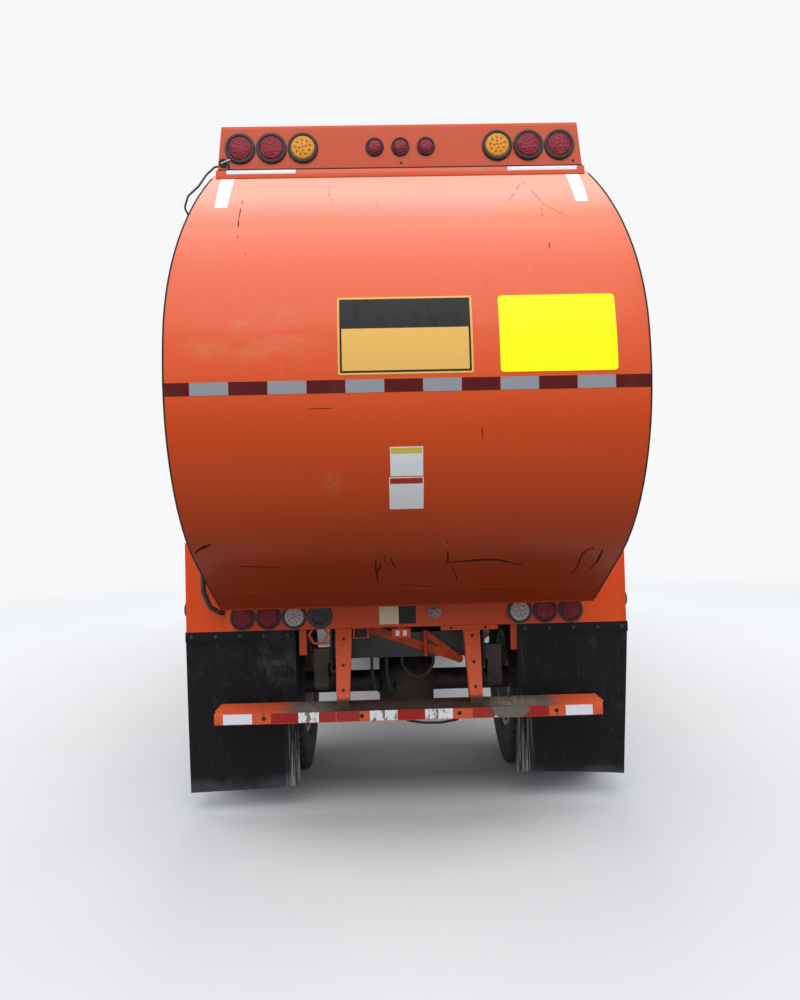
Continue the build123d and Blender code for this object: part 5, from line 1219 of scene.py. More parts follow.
def bar_holes(edge):
    """Small holes in the light bar, and the stub of lead that comes out of one."""
    y = BAR_LOW.y
    # The holes are dark inserts on the bar's face: painted shade
    for x in (0.002, 0.776):
        edge.take(rod((x, y - 0.001, 3.170), (x, y + 0.004, 3.170), 0.009, 3), "dark")
    hole = [(0.0002, 0.0), (0.0002, 0.021), (0.0016, 0.0215), (0.0016, 0.0)]
    edge.take(spun(hole, (-0.790, y, 3.180), REARWARD, 32), "dark")
    edge.take(tube([(x, y - out, z) for x, out, z in STUB_LEAD], 0.0022), "film_white")
    edge.take(tube([(x, y - out, z) for x, out, z in STUB_SLEEVE], 0.005), "hose")


def gate_edge():
    """The tailgate's edges: top band, dark joints down both sides, the fold near its foot and its lip."""
    edge = Piece("gate_edge")
    top_band(edge)
    bar_holes(edge)
    heights = [GATE_FOOT_Z + (TOP_BAND_LOW - GATE_FOOT_Z) * i / 32 for i in range(33)]
    for side in (-1, 1):
        joint = [on_gate(side * (body_half_at(z) - 0.003), z, 0.0002) for z in heights]
        edge.take(bead(joint, 0.0035, sides=1), "dark")
    fold = on_gate(0, FOLD_Z, 0.001)
    half = BODY_HALF - 0.02
    edge.take(bead([(-half, fold.y, fold.z), (half, fold.y, fold.z)], 0.003), "gate")
    lip = on_gate(0, LIP_Z, 0.0)
    half = BODY_HALF - 0.01
    edge.take(block((-half, lip.y - 0.004, lip.z - 0.006), (half, lip.y + 0.05, lip.z + 0.003), 0.002),
              "gate")
    edge.done("tailgate", "orange_paint")


class TRUCK_OT_tailgate_trim(Operator):
    """Lays the tape, the blank signs, the edge strips and the scrapes on the tailgate"""
    bl_idname = "truck.tailgate_trim"
    bl_label = "Tailgate trim"

    def execute(self, context):
        gate_tape()
        blank_signs()
        gate_scrapes()
        gate_edge()
        return {"FINISHED"}


# Rear bumper and bolster
BUMPER_TAPE = ((-0.957, -0.810, "tape_strip"), (-0.714, -0.576, "tape_red_bright"),
               (-0.574, -0.470, "tape_white_worn"), (-0.468, -0.385, "tape_red_worn"),
               (-0.378, -0.262, "tape_red_worn"), (-0.209, -0.068, "tape_white_worn"),
               (-0.066, 0.072, "tape_red_bright"), (0.074, 0.216, "tape_white_worn"),
               (0.318, 0.428, "tape_red_worn"), (0.432, 0.574, "tape_white_worn"),
               (0.576, 0.712, "tape_red_bright"), (0.797, 0.936, "tape_strip"))
BUMPER_TAPE_LOW, BUMPER_TAPE_HIGH = 0.5475, 0.5985
BUMPER_HOLE_X = (-0.75, -0.25, 0.25, 0.75)
BUMPER_HOLE_Z = 0.5735
DIRT_HEAPS = ((-0.64, -0.28, 0.012), (-0.30, 0.34, 0.008), (0.36, 0.68, 0.026))
DIRT_DEPTH = 0.150
DIRT_REST_Z, DIRT_BASE_Z = 0.600, 0.595
CORNER_BLOCKS = ((-1.003, -0.9455), (0.9455, 0.990))
BOLSTER_DECAL = (-0.153, -0.047, 0.047, 1.002, 1.110)
CROSS_KNOB = (0.148, 0.022, 1.067)
BOLSTER_FOOT_Z, BOLSTER_SEAM_TOP = 0.990, 1.128
BOLSTER_SEAM_X, BOLSTER_JOINT = 0.928, (1.195, 0.9865)
STRUT_BOLTS_Z = (0.93, 0.80, 0.68)
STRUT_X, STRUT_NORMAL = 0.35, (0, -0.92, 0.39)


def heap(low_x, high_x, height):
    """Loose dirt lying on the bumper's top, highest in the middle, with a rough surface."""
    bm = bmesh.new()
    bmesh.ops.create_grid(bm, x_segments=44, y_segments=18, size=0.5)
    for v in bm.verts:
        u, w = v.co.x * 2, v.co.y * 2
        edge = max(0.0, 1 - abs(u) ** 3) * max(0.0, 1 - abs(w) ** 3)
        x = (low_x + high_x) / 2 + v.co.x * (high_x - low_x)
        y = BUMPER_LOW.y + 0.085 + v.co.y * DIRT_DEPTH
        rough = noise.fractal(Vector((x, y, 0)) * 38.0, 1.0, 2.0, 4)
        v.co = (x, y, DIRT_REST_Z + height * (edge * (0.75 + 0.9 * rough) - 0.12))
    outward(bm)
    for v in extruded(bm):
        v.co.z = DIRT_BASE_Z
    return outward(bm)


def strut_face(z):
    """Rear face of the bumper's struts at a height."""
    top, foot = (BOLSTER_Y + 0.015, 0.985), (BUMPER_LOW.y + 0.075, 0.600)
    return top[0] + (foot[0] - top[0]) * (top[1] - z) / (top[1] - foot[1]) - 0.0005


def bumper_tape():
    """Worn tape on the bumper's face, with dark discs over its four holes as painted shade."""
    tape = Piece("bumper_tape")
    y = BUMPER_LOW.y
    for left, right, kind in BUMPER_TAPE:
        tape.take(block((left, y - 0.0007, BUMPER_TAPE_LOW), (right, y - 0.0002, BUMPER_TAPE_HIGH),
                        0.0001, 1), kind)
    # Painted shade: a dark disc stands for each hole
    plug = [(0.0001, 0.0), (0.0001, 0.0105), (0.0006, 0.011), (0.0006, 0.0)]
    for x in BUMPER_HOLE_X:
        tape.take(spun(plug, (x, y - 0.0001, BUMPER_HOLE_Z), REARWARD, 24), "dark")
    tape.done("chassis", "lamp_clear")


def bumper_dirt():
    """Dirt heaped on the bumper's top, and caked where it has run down over the face."""
    dirt = Piece("bumper_dirt")
    for heaped in DIRT_HEAPS:
        dirt.take(heap(*heaped), "dirt")
    y = BUMPER_LOW.y
    dirt.take(block((0.38, y - 0.0014, BUMPER_TAPE_LOW), (0.65, y - 0.0010, 0.6015), 0.0001, 1), "caked")
    dirt.done("chassis", "frame_black")


def bumper_corners():
    """Blocks that fill the bumper's cut corners."""
    corners = Piece("bumper_corners")
    for left, right in CORNER_BLOCKS:
        corners.take(block((left, BUMPER_LOW.y + 0.0001, BUMPER_FOOT - 0.0003),
                           (right, BUMPER_LOW.y + 0.065, BUMPER_TOP + 0.0003), 0.004), "bumper")
    corners.done("chassis", "orange_paint")


def cross_knob(piece):
    """A pale knob with a cross-shaped grip."""
    x, out, z = CROSS_KNOB
    centre = Vector((x, BOLSTER_Y - out, z))
    dome = [(0, 0), (0, 0.036), (0.004, 0.037), (0.007, 0.033), (0.009, 0.020), (0.010, 0)]
    piece.take(spun(dome, centre, REARWARD, 32), "pale_fitting")
    crown = centre + Vector((0, -0.014, 0))
    for turn in (radians(45), radians(135)):
        arm = Vector((cos(turn), 0, sin(turn))) * 0.029
        piece.take(rod(crown - arm, crown + arm, 0.0085, 12, bevel=0.003), "pale_fitting")


def bolster_fittings():
    """Decal, buttons, knob, tags, strut bolts and weld seams of the bolster."""
    fittings = Piece("bolster_fittings")
    y = BOLSTER_Y
    left, middle, right, low, high = BOLSTER_DECAL
    for start, stop, film in ((left, middle, "film_cream"), (middle, right, "film_black")):
        fittings.take(block((start, y - 0.0006, low), (stop, y - 0.0001, high), 0.0001, 1), film)
    for x in (0.238, 0.424):
        fittings.take(rod((x, y - 0.0085, 0.974), (x, y - 0.0065, 0.974), 0.007, 16), "dark")
    cross_knob(fittings)
    for x in (-0.055, -0.015):
        tag = block((x - 0.010, y + 0.0175, 0.935), (x + 0.010, y + 0.0197, 0.963), 0.002)
        fittings.take(tag, "film_white")
    fittings.take(block((-0.286, y + 0.0235, 0.930), (-0.226, y + 0.0245, 0.975)), "dark")
    for side in (-1, 1):
        for z in STRUT_BOLTS_Z:
            fittings.take(bolt((side * STRUT_X, strut_face(z), z), STRUT_NORMAL, 0.014), "cast")
        seam = [(side * BOLSTER_SEAM_X, y - 0.0005, z) for z in (BOLSTER_FOOT_Z, BOLSTER_SEAM_TOP)]
        fittings.take(bead(seam, 0.0025), "orange")
    half, z = BOLSTER_JOINT
    fittings.take(bead([(-half, y + 0.004, z), (half, y + 0.004, z)], 0.0035), "dark")
    fittings.done("chassis", "orange_paint")


class TRUCK_OT_rear_trim(Operator):
    """Dresses the rear bumper, the bolster, its fittings and the struts"""
    bl_idname = "truck.rear_trim"
    bl_label = "Rear trim"

    def execute(self, context):
        bumper_tape()
        bumper_dirt()
        bumper_corners()
        bolster_fittings()
        return {"FINISHED"}


# Mud flaps: side, inner and outer edge at the top, the same at the foot, rise of the foot's corners, seed
HANG = ((-1, 0.615, 1.207, 0.600, 1.193, 0.035, 0.007, 3.0),
        (1, 0.606, 1.209, 0.577, 1.170, 0.072, 0.041, 11.0))
FLAP_THICKNESS = 0.009


def flap(side, inner, outer, inner_foot, outer_foot, inner_low, outer_low, seed):
    """A rubber sheet that hangs askew, sways in folds and curls at its foot."""
    top = FLAPS_HIGH.z
    bm = bmesh.new()
    bmesh.ops.create_grid(bm, x_segments=24, y_segments=34, size=0.5)
    for v in bm.verts:
        across, down = v.co.x + 0.5, 0.5 - v.co.y
        at_top = inner + (outer - inner) * across
        at_foot = inner_foot + (outer_foot - inner_foot) * across
        x = at_top * (1 - down) + at_foot * down
        z = top - (top - FLAPS_LOW.z - inner_low - (outer_low - inner_low) * across) * down
        sway = noise.noise(Vector((side * x * 2.1, z * 1.6, seed))) * 0.016 * down
        curl = 0.010 * down ** 3 * sin(across * pi * 1.5 + seed)
        v.co = (x * side, BOLSTER_Y + 0.012 + sway + curl, z)
    for v in extruded(bm):
        v.co.y += FLAP_THICKNESS
    return outward(bm)


class TRUCK_OT_flaps(Operator):
    """Hangs the rubber flaps from their bolted strips"""
    bl_idname = "truck.flaps"
    bl_label = "Mud flaps"

    def execute(self, context):
        flaps = Piece("hanging_flaps")
        top = FLAPS_HIGH.z
        for hung in HANG:
            side, inner, outer = hung[:3]
            flaps.take(flap(*hung), "flap")
            strip = block((side * inner, BOLSTER_Y + 0.003, top - 0.055),
                          (side * outer, BOLSTER_Y + 0.0105, top), 0.0015)
            flaps.take(strip, "flap")
            for i in range(5):
                x = side * (inner + (outer - inner) * (0.06 + 0.22 * i))
                flaps.take(bolt((x, BOLSTER_Y + 0.003, top - 0.026), REARWARD, 0.017), "cast")
        flaps.done("chassis", "rubber", "mud_flaps")
        return {"FINISHED"}


# Tyres and wheels
CENTRE_GROOVE, SIDE_GROOVE_IN, SIDE_GROOVE_OUT, TREAD_HALF = 0.007, 0.060, 0.074, 0.118
TYRE_RADIUS = 0.5268
TYRE_HALF = 0.1395
# One sidewall from the tread's edge to the bead, as distances from the tyre's middle and radii
SIDEWALL = ((0.1255, 0.5195), (0.1325, 0.500), (0.1385, 0.470), (TYRE_HALF, 0.440), (0.1385, 0.405),
            (0.1365, 0.400), (0.1365, 0.393), (0.1340, 0.370), (0.1250, 0.340), (0.1240, 0.334),
            (0.1200, 0.331), (0.1110, 0.305), (0.1030, 0.2875))
SHOULDER_LOW, SHOULDER_HIGH = 0.503, 0.524
NUTS = 10
NUT_RING = 0.1425


def is_cut(x, step):
    """Whether a face of the tread lies in a groove round the tyre or in a cut across a rib."""
    x = abs(x)
    if x < CENTRE_GROOVE or SIDE_GROOVE_IN < x < SIDE_GROOVE_OUT:
        return True
    return step % 4 == (0 if x > SIDE_GROOVE_OUT else 2)


def tyre(centre):
    """A radial truck tyre: banded sidewalls, shoulder blocks and a tread cut by grooves."""
    tread = (CENTRE_GROOVE, SIDE_GROOVE_IN, SIDE_GROOVE_OUT, TREAD_HALF)
    half = [(x, TYRE_RADIUS) for x in tread] + list(SIDEWALL)
    outline = [(-x, r) for x, r in reversed(half)] + half
    bm = bmesh.new()
    ring = [bm.verts.new((x, 0, r)) for x, r in outline]
    edges = [bm.edges.new(pair) for pair in zip(ring, ring[1:] + ring[:1])]
    steps = sizes().tread_steps
    bmesh.ops.spin(bm, geom=ring + edges, cent=(0, 0, 0), axis=(1, 0, 0), dvec=(0, 0, 0), angle=2 * pi,
                   steps=steps, use_merge=True)
    bmesh.ops.remove_doubles(bm, verts=bm.verts[:], dist=1e-5)
    outward(bm)
    sunk = []
    for face in bm.faces:
        at = face.calc_center_median()
        radius = sqrt(at.y ** 2 + at.z ** 2)
        step = int((pi + Vector((at.y, at.z)).angle_signed(Vector((1, 0)))) / (2 * pi) * steps)
        in_tread = radius > TYRE_RADIUS - 0.002 and abs(at.x) < TREAD_HALF
        in_shoulder = SHOULDER_LOW < radius < SHOULDER_HIGH
        if in_tread and is_cut(at.x, step) or in_shoulder and step % 4 == 0:
            sunk.append(face)
    bmesh.ops.inset_region(bm, faces=sunk, thickness=0.0022, depth=-sizes().tread_depth,
                           use_even_offset=True)
    bmesh.ops.translate(bm, vec=centre, verts=bm.verts[:])
    return bm


# Wheels: name, side, whether there are twins
WHEELS = (("front_left", -1, False), ("front_right", 1, False), ("rear_left", -1, True),
          ("rear_right", 1, True))


def disc_face(name, side):
    """Outer face of the wheel disc where the nuts sit, read from the rim's own vertices."""
    low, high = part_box("rim_" + name)
    middle = (low + high) / 2
    reach = []
    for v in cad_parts["rim_" + name].data.vertices:
        if 0.10 < (v.co - middle).yz.length < 0.20:
            reach.append(v.co.x * side)
    return side * max(reach)


def nut(piece, at, axis):
    """A wheel nut on its flange, with the stud's end."""
    piece.take(rod(at, at + axis * 0.006, 0.022, 18), "bolt")
    piece.take(rod(at + axis * 0.006, at + axis * 0.026, 0.0185, 6), "bolt")
    piece.take(rod(at + axis * 0.026, at + axis * 0.040, 0.011, 10, bevel=0.002), "bolt")


class TRUCK_OT_wheels(Operator):
    """Builds treaded tyres, wheel nuts and valve stems"""
    bl_idname = "truck.wheels"
    bl_label = "Tyres and wheel trim"

    def execute(self, context):
        for name, side, twin in WHEELS:
            low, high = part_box("tyre_" + name)
            centre = (low + high) / 2
            piece = Piece("treaded_tyre_" + name)
            spread = (high.x - low.x) / 2 - TYRE_HALF
            for x in ((centre.x - spread, centre.x + spread) if twin else (centre.x,)):
                piece.take(tyre(Vector((x, centre.y, centre.z))), "tyre")
            piece.done("wheel_" + name, "tyre_rubber", "tyre_" + name, sharp=28)
            trim = Piece("wheel_trim_" + name)
            face = disc_face(name, side)
            for i in range(NUTS):
                turn = 2 * pi * i / NUTS
                at = Vector((face, centre.y + cos(turn) * NUT_RING, centre.z + sin(turn) * NUT_RING))
                nut(trim, at, Vector((side, 0, 0)))
            valve = Vector((face, centre.y + 0.205, centre.z))
            bend, tip = Vector((side * 0.03, 0.002, 0)), Vector((side * 0.06, -0.008, 0))
            trim.take(tube([valve, valve + bend, valve + tip], 0.005), "bolt")
            trim.done("wheel_" + name, "steel")
        return {"FINISHED"}


# Body, hopper and side boxes
SIDE_TAPE_Z = 1.2150
SIDE_TAPE_RUNS = ((-1.195, -0.965), (-0.875, 0.318), (0.425, 1.850))
SIDE_TAPE_SEGMENT = 0.200
BOX_TAPE_RUNS = ((-2.700, -2.370), (-1.700, -1.240))
BOX_TAPE_Z = 1.050
BOX_DOORS = ((-2.700, -2.080), (-2.020, -1.300))
BOX_DOOR_LOW, BOX_DOOR_HIGH = 1.160, 1.385
INSPECTION_DOOR = (-0.640, -0.160, 1.420, 1.880)
SILL_SEAM_Z = 1.1712
POST_EDGES_Y = (0.325, 0.395, -0.955, -0.885)
POST_LOW, POST_HEIGHT = 1.19, 1.90
STITCH_Y = (-2.45, -1.75, -1.35)
STITCH_Z = 1.476
WALL_MARKERS = ((0.180, 1.330), (1.700, 1.330))
BOX_MARKER = (-2.748, 1.105)
HINGE_BOLTS_X = ((0.498, -1), (0.622, 1))


def side_tape(piece, x, side, low_y, high_y, z):
    """Alternating reflective segments along a flat side."""
    half = sizes().tape_height / 2
    for start, stop, kind in tape_segments(low_y, high_y, SIDE_TAPE_SEGMENT, 0.02):
        piece.take(block((x + side * 0.0002, start, z - half), (x + side * 0.0008, stop - 0.0015, z + half),
                         0.0001, 1), kind)


def raised_door(piece, x, side, low_y, high_y, low_z, high_z):
    """A lapped sheet door with a hinge along its top, a turned edge and a paddle latch."""
    def plate(inner, outer, y, half_y, z, half_z, bevel, look):
        piece.take(block((x + side * inner, y - half_y, z - half_z),
                         (x + side * outer, y + half_y, z + half_z), bevel), look)

    sheet = block((x + side * 0.0003, low_y, low_z), (x + side * 0.0045, high_y, high_z), 0.0016)
    piece.take(sheet, "orange")
    ridge = rounded_loop(low_y + 0.030, high_y - 0.030, low_z + 0.030, high_z - 0.030, 0.020,
                         lambda y, z: Vector((x + side * 0.0040, y, z)))
    piece.take(bead(ridge, 0.0042, sides=1, closed=True), "orange")
    pin_x, pin_z = x + side * 0.007, high_z + 0.004
    for y in (low_y + 0.10, high_y - 0.10):
        piece.take(rod((pin_x, y - 0.035, pin_z), (pin_x, y + 0.035, pin_z), 0.0075, 14, bevel=0.001), "bolt")
        for z in (high_z - 0.014, high_z + 0.022):
            plate(0.0003, 0.0062, y, 0.030, z, 0.012, 0.001, "orange")
    middle, z = (low_y + high_y) / 2, low_z + 0.040
    plate(0.004, 0.010, middle, 0.055, z, 0.022, 0.003, "trim")
    plate(0.010, 0.016, middle - 0.009, 0.031, z, 0.012, 0.003, "bolt")
    lock = (x + side * 0.010, middle + 0.038, z)
    piece.take(cap(lock, (side, 0, 0), 0.007, 0.006, 0.0075, 0.004, 20), "bolt")


def side_beads(body, side, wall_x):
    """Weld beads: along the sill, up the posts' edges and three short stitches."""
    x = wall_x + side * 0.001
    sill = [(x, -1.205, SILL_SEAM_Z), (x, HOPPER_FRONT_Y - 0.01, SILL_SEAM_Z)]
    body.take(bead(sill, 0.0032, sides=1), "orange")
    heights = [POST_LOW + POST_HEIGHT * i / 30 for i in range(31)]
    for y in POST_EDGES_Y:
        edge = [(side * (body_half_at(z) + 0.0015), y, z) for z in heights]
        body.take(bead(edge, 0.0035, sides=1), "orange")
    x = side * (BODY_HALF + 0.002)
    for y in STITCH_Y:
        body.take(bead([(x, y, STITCH_Z), (x, y + 0.09, STITCH_Z)], 0.004, sides=1), "orange")


class TRUCK_OT_body_trim(Operator):
    """Adds the body's side tape, lamps, doors, weld beads and hinge bolts"""
    bl_idname = "truck.body_trim"
    bl_label = "Body trim"

    def execute(self, context):
        tape = Piece("side_tape")
        body = Piece("body_side_trim")
        lamps = Piece("side_lamps")
        for side in (-1, 1):
            wall_x, box_x, away = side * BODY_HALF, side * BOXES_HIGH.x, (side, 0, 0)
            for low_y, high_y in SIDE_TAPE_RUNS:
                side_tape(tape, wall_x, side, low_y, high_y, SIDE_TAPE_Z)
            for low_y, high_y in BOX_TAPE_RUNS:
                side_tape(tape, box_x, side, low_y, high_y, BOX_TAPE_Z)
            for low_y, high_y in BOX_DOORS:
                raised_door(body, box_x, side, low_y, high_y, BOX_DOOR_LOW, BOX_DOOR_HIGH)
            side_beads(body, side, wall_x)
            for y, z in WALL_MARKERS:
                marker(lamps, (wall_x, y, z), away, "lens_amber")
            marker(lamps, (box_x, *BOX_MARKER), away, "lens_red")
            for x, toward in HINGE_BOLTS_X:
                place = (side * x, BOLSTER_Y - 0.008, BODY_TOP + 0.040)
                body.take(bolt(place, (side * toward, 0, 0), 0.030), "bolt")
        raised_door(body, -BODY_HALF, -1, *INSPECTION_DOOR)
        tape.done("chassis", "lamp_clear")
        body.done("chassis", "orange_paint")
        lamps.done("chassis", "lamp_red")
        return {"FINISHED"}


# Cab
WIPER_X = (-0.760, 0.180)
WIPER_FOOT_Z, WIPER_ELBOW_Z, WIPER_BLADE_Z, WIPER_TIP_Z = 1.492, 1.530, 1.585, 1.600
ROOF_LAMP_X = (-0.980, -0.170, 0.0, 0.170, 0.980)
GRILLE = (-0.536, 0.536, 0.944, 1.336)
GRILLE_BARS = 25
GRILLE_PITCH = 0.042
GRAB_RAIL_Y, GRAB_RAIL_LOW, GRAB_RAIL_HIGH = 2.800, 1.300, 2.078
GUTTER_Z = 2.412
MIRROR_X = (1.236, 1.384)
MIRROR_PANES = ((1.600, 1.875), (1.900, 2.020))
STEPS_Z = (0.458, 0.640)
WINDOW_CORNER, DOOR_WINDOW_CORNER = 0.035, 0.030
HEAD_LAMP = (0.800, 0.580)
DOOR_LOCK_YZ = (2.915, 1.250)
DOOR_SWAGE_Z = 1.405


def gasket(piece, opening, corner, radius, place):
    """A rubber gasket round a window."""
    piece.take(bead(rounded_loop(*opening, corner, place), radius, closed=True), "hose")


def grab_rail(cab, side, wall_x):
    """A bent rail behind the door, on two round feet."""
    y, low, high = GRAB_RAIL_Y, GRAB_RAIL_LOW, GRAB_RAIL_HIGH
    x = side * (CAB_HALF + 0.048)
    bend = x - side * 0.012
    route = [(wall_x, y, low), (bend, y, low + 0.002), (x, y, low + 0.018),
             (x, y, high - 0.018), (bend, y, high - 0.002), (wall_x, y, high)]
    cab.take(bead(route, 0.0125), "chrome")
    for z in (low, high):
        cab.take(cap((wall_x, y, z), (side, 0, 0), 0.026, 0.004, 0.006, 0.022, 28), "bolt")


def turn_lamp(cab, side):
    """A square amber lamp beside the grille, with six ridges in its lens."""
    y = CAB_FACE_Y
    cab.take(block((side * 0.640, y - 0.001, 0.935), (side * 0.900, y + 0.006, 1.035), 0.003), "trim")
    cab.take(block((side * 0.650, y + 0.004, 0.945), (side * 0.890, y + 0.018, 1.025), 0.008, 3),
             "lens_amber")
    for i in range(6):
        x = side * (0.680 + i * 0.036)
        cab.take(rod((x, y + 0.0175, 0.955), (x, y + 0.0175, 1.015), 0.003, 8), "pip_amber")


def mirror_panes(cab, side):
    """The flat and the wide-angle mirror glass on one arm."""
    y = MIRROR_Y
    near, far = sorted(side * x for x in MIRROR_X)
    for low, high in MIRROR_PANES:
        cab.take(block((near, y - 0.0035, low), (far, y - 0.0004, high), 0.0012), "mirror")
        edge = rounded_loop(near, far, low, high, 0.012, lambda x, z: Vector((x, y - 0.001, z)))
        cab.take(bead(edge, 0.0042, sides=2, closed=True), "trim")


def grille(cab):
    """A bright frame, a dark back and upright bars."""
    left, right, low, high = GRILLE
    y = CAB_FACE_Y
    edge = rounded_loop(*GRILLE, 0.018, lambda x, z: Vector((x, y + 0.002, z)))
    cab.take(bead(edge, 0.010, closed=True), "chrome")
    cab.take(block((left + 0.005, y - 0.0455, low), (right - 0.005, y - 0.0405, high), 0.001, 1), "dark")
    for i in range(GRILLE_BARS):
        x = (i - (GRILLE_BARS - 1) / 2) * GRILLE_PITCH
        cab.take(rod((x, y - 0.032, low + 0.01), (x, y - 0.032, high - 0.01), 0.0035, 8), "trim")


def wiper(cab, x):
    """A wiper parked at the foot of the windscreen: spindle cap, arm and blade."""
    foot, elbow, blade, tip = WIPER_FOOT_Z, WIPER_ELBOW_Z, WIPER_BLADE_Z, WIPER_TIP_Z
    spindle = [(0, 0), (0, 0.020), (0.014, 0.017), (0.020, 0.011), (0.022, 0)]
    cab.take(spun(spindle, (x, cab_face(foot), foot), (0, 1, 0.1), 24), "trim")
    arm = [(x, cab_face(foot) + 0.018, foot), (x + 0.10, cab_face(elbow) + 0.024, elbow),
           (x + 0.34, cab_face(blade) + 0.022, blade)]
    cab.take(tube(arm, 0.0065), "trim")
    lips = [(x + 0.02, cab_face(blade) - 0.004, 1.574), (x + 0.34, cab_face(blade) + 0.010, blade),
            (x + 0.66, cab_face(tip) - 0.004, tip)]
    cab.take(tube(lips, 0.0062), "hose")


def roof_lamp(cab, x):
    cab.take(block((x - 0.060, 3.520, ROOF_TOP - 0.002), (x + 0.060, 3.600, ROOF_TOP + 0.010), 0.004), "trim")
    cab.take(block((x - 0.048, 3.530, ROOF_TOP + 0.006), (x + 0.048, 3.592, ROOF_TOP + 0.040), 0.015, 4),
             "lens_amber")


def step_treads(cab, side):
    """Raised rings pressed into both steps."""
    stud = [(0, 0.009), (0.004, 0.008), (0.0045, 0.005), (0.002, 0.004), (0, 0.004)]
    for z in STEPS_Z:
        for i in range(3):
            for j in range(7):
                at = (side * (0.975 + i * 0.060), 3.300 + j * 0.036, z)
                cab.take(spun(stud, at, UPWARD, 12), "steel")


def cab_exterior():
    """Gaskets, rails, gutters, lamps, mirror glass, grille, wipers and step treads of the cab."""
    cab = Piece("cab_exterior_trim")
    gasket(cab, SCREEN, WINDOW_CORNER, 0.013, lambda x, z: Vector((x, cab_face(z) + 0.001, z)))
    gasket(cab, REAR_WINDOW, WINDOW_CORNER, 0.012, lambda x, z: Vector((x, CAB_BACK_LOW.y - 0.001, z)))
    for side in (-1, 1):
        wall_x, gutter_x = side * (CAB_HALF + 0.001), side * (CAB_HALF + 0.002)
        gasket(cab, QUARTER_WINDOW, WINDOW_CORNER, 0.011, lambda y, z: Vector((wall_x, y, z)))
        grab_rail(cab, side, wall_x)
        cab.take(bead([(gutter_x, 2.790, GUTTER_Z), (gutter_x, 3.640, GUTTER_Z)], 0.007, sides=2), "orange")
        turn_lamp(cab, side)
        mirror_panes(cab, side)
    grille(cab)
    for x in WIPER_X:
        wiper(cab, x)
    for x in ROOF_LAMP_X:
        roof_lamp(cab, x)
    for side in (-1, 1):
        step_treads(cab, side)
    cab.done("cab", "trim")


def front_bumper():
    """Bolt heads and head lamps of the front bumper."""
    front = Piece("front_bumper_trim")
    y = FRONT_BUMPER_Y
    head = [(0, 0), (0, 0.020), (0.004, 0.020), (0.010, 0.014), (0.012, 0)]
    for x in (-0.392, 0.392):
        for z in (0.500, 0.630):
            front.take(spun(head, (x, y, z), FORWARD, 24), "bolt")
    rim = [(0, 0.104), (0.012, 0.104), (0.016, 0.110), (0.015, 0.119), (0.010, 0.122), (0, 0.112)]
    glass = [(0.0062, 0.0), (0.0062, 0.104), (0.010, 0.100), (0.016, 0.060), (0.018, 0.0)]
    x, z = HEAD_LAMP
    for side in (-1, 1):
        front.take(spun(rim, (side * x, y - 0.010, z), FORWARD, 56), "chrome")
        front.take(spun(glass, (side * x, y - 0.010, z), FORWARD, 56), "lens_clear")
    front.done("chassis", "chrome")


def door_trim(name, side):
    """A door's gasket, lock and swage line."""
    door = Piece("door_trim_" + name)
    x = side * (CAB_HALF + 0.001)
    gasket(door, DOOR_WINDOW, DOOR_WINDOW_CORNER, 0.011, lambda y, z: Vector((x, y, z)))
    door.take(cap((x, *DOOR_LOCK_YZ), (side, 0, 0), 0.015, 0.004, 0.006, 0.011, 24), "bolt")
    door.take(bead([(x, 2.900, DOOR_SWAGE_Z), (x, 3.595, DOOR_SWAGE_Z)], 0.005, sides=2), "orange")
    door.done("door_" + name, "trim")


class TRUCK_OT_cab_trim(Operator):
    """Adds gaskets, wipers, grab rails, lamps, grille frame, mirror glass and step treads"""
    bl_idname = "truck.cab_trim"
    bl_label = "Cab trim"

    def execute(self, context):
        cab_exterior()
        front_bumper()
        for name, side in (("left", -1), ("right", 1)):
            door_trim(name, side)
        return {"FINISHED"}


# Seats
SEAT_X = (-0.680, 0.680)
CHANNEL_DEPTH = 0.016
CHANNEL_HALF = 0.035
SQUARENESS = 6.0


def cushion(low, high, crown_axis, channels):
    """A padded form: a squashed ball with square shoulders, crowned, with channels sewn across it."""
    low, high = Vector(low), Vector(high)
    centre, half = (low + high) / 2, (high - low) / 2
    bm = bmesh.new()
    bmesh.ops.create_cube(bm, size=2.0)
    bmesh.ops.subdivide_edges(bm, edges=bm.edges[:], cuts=23, use_grid_fill=True)
    first, second = (i for i in range(3) if i != crown_axis)
    for v in bm.verts:
        u = v.co.copy()
        u /= sum(abs(c) ** SQUARENESS for c in u) ** (1 / SQUARENESS)
        a, b = u[first], u[second]
        u[crown_axis] *= 0.80 + 0.20 * (1 - a * a) * (1 - b * b)
        u[first] *= 1 - 0.035 * (1 - b * b) * abs(a)
        for at in channels:
            u[crown_axis] *= 1 - CHANNEL_DEPTH / half[crown_axis] * exp(-((b - at) / CHANNEL_HALF) ** 2)
        v.co = Vector(centre[i] + u[i] * half[i] for i in range(3))
    return bm


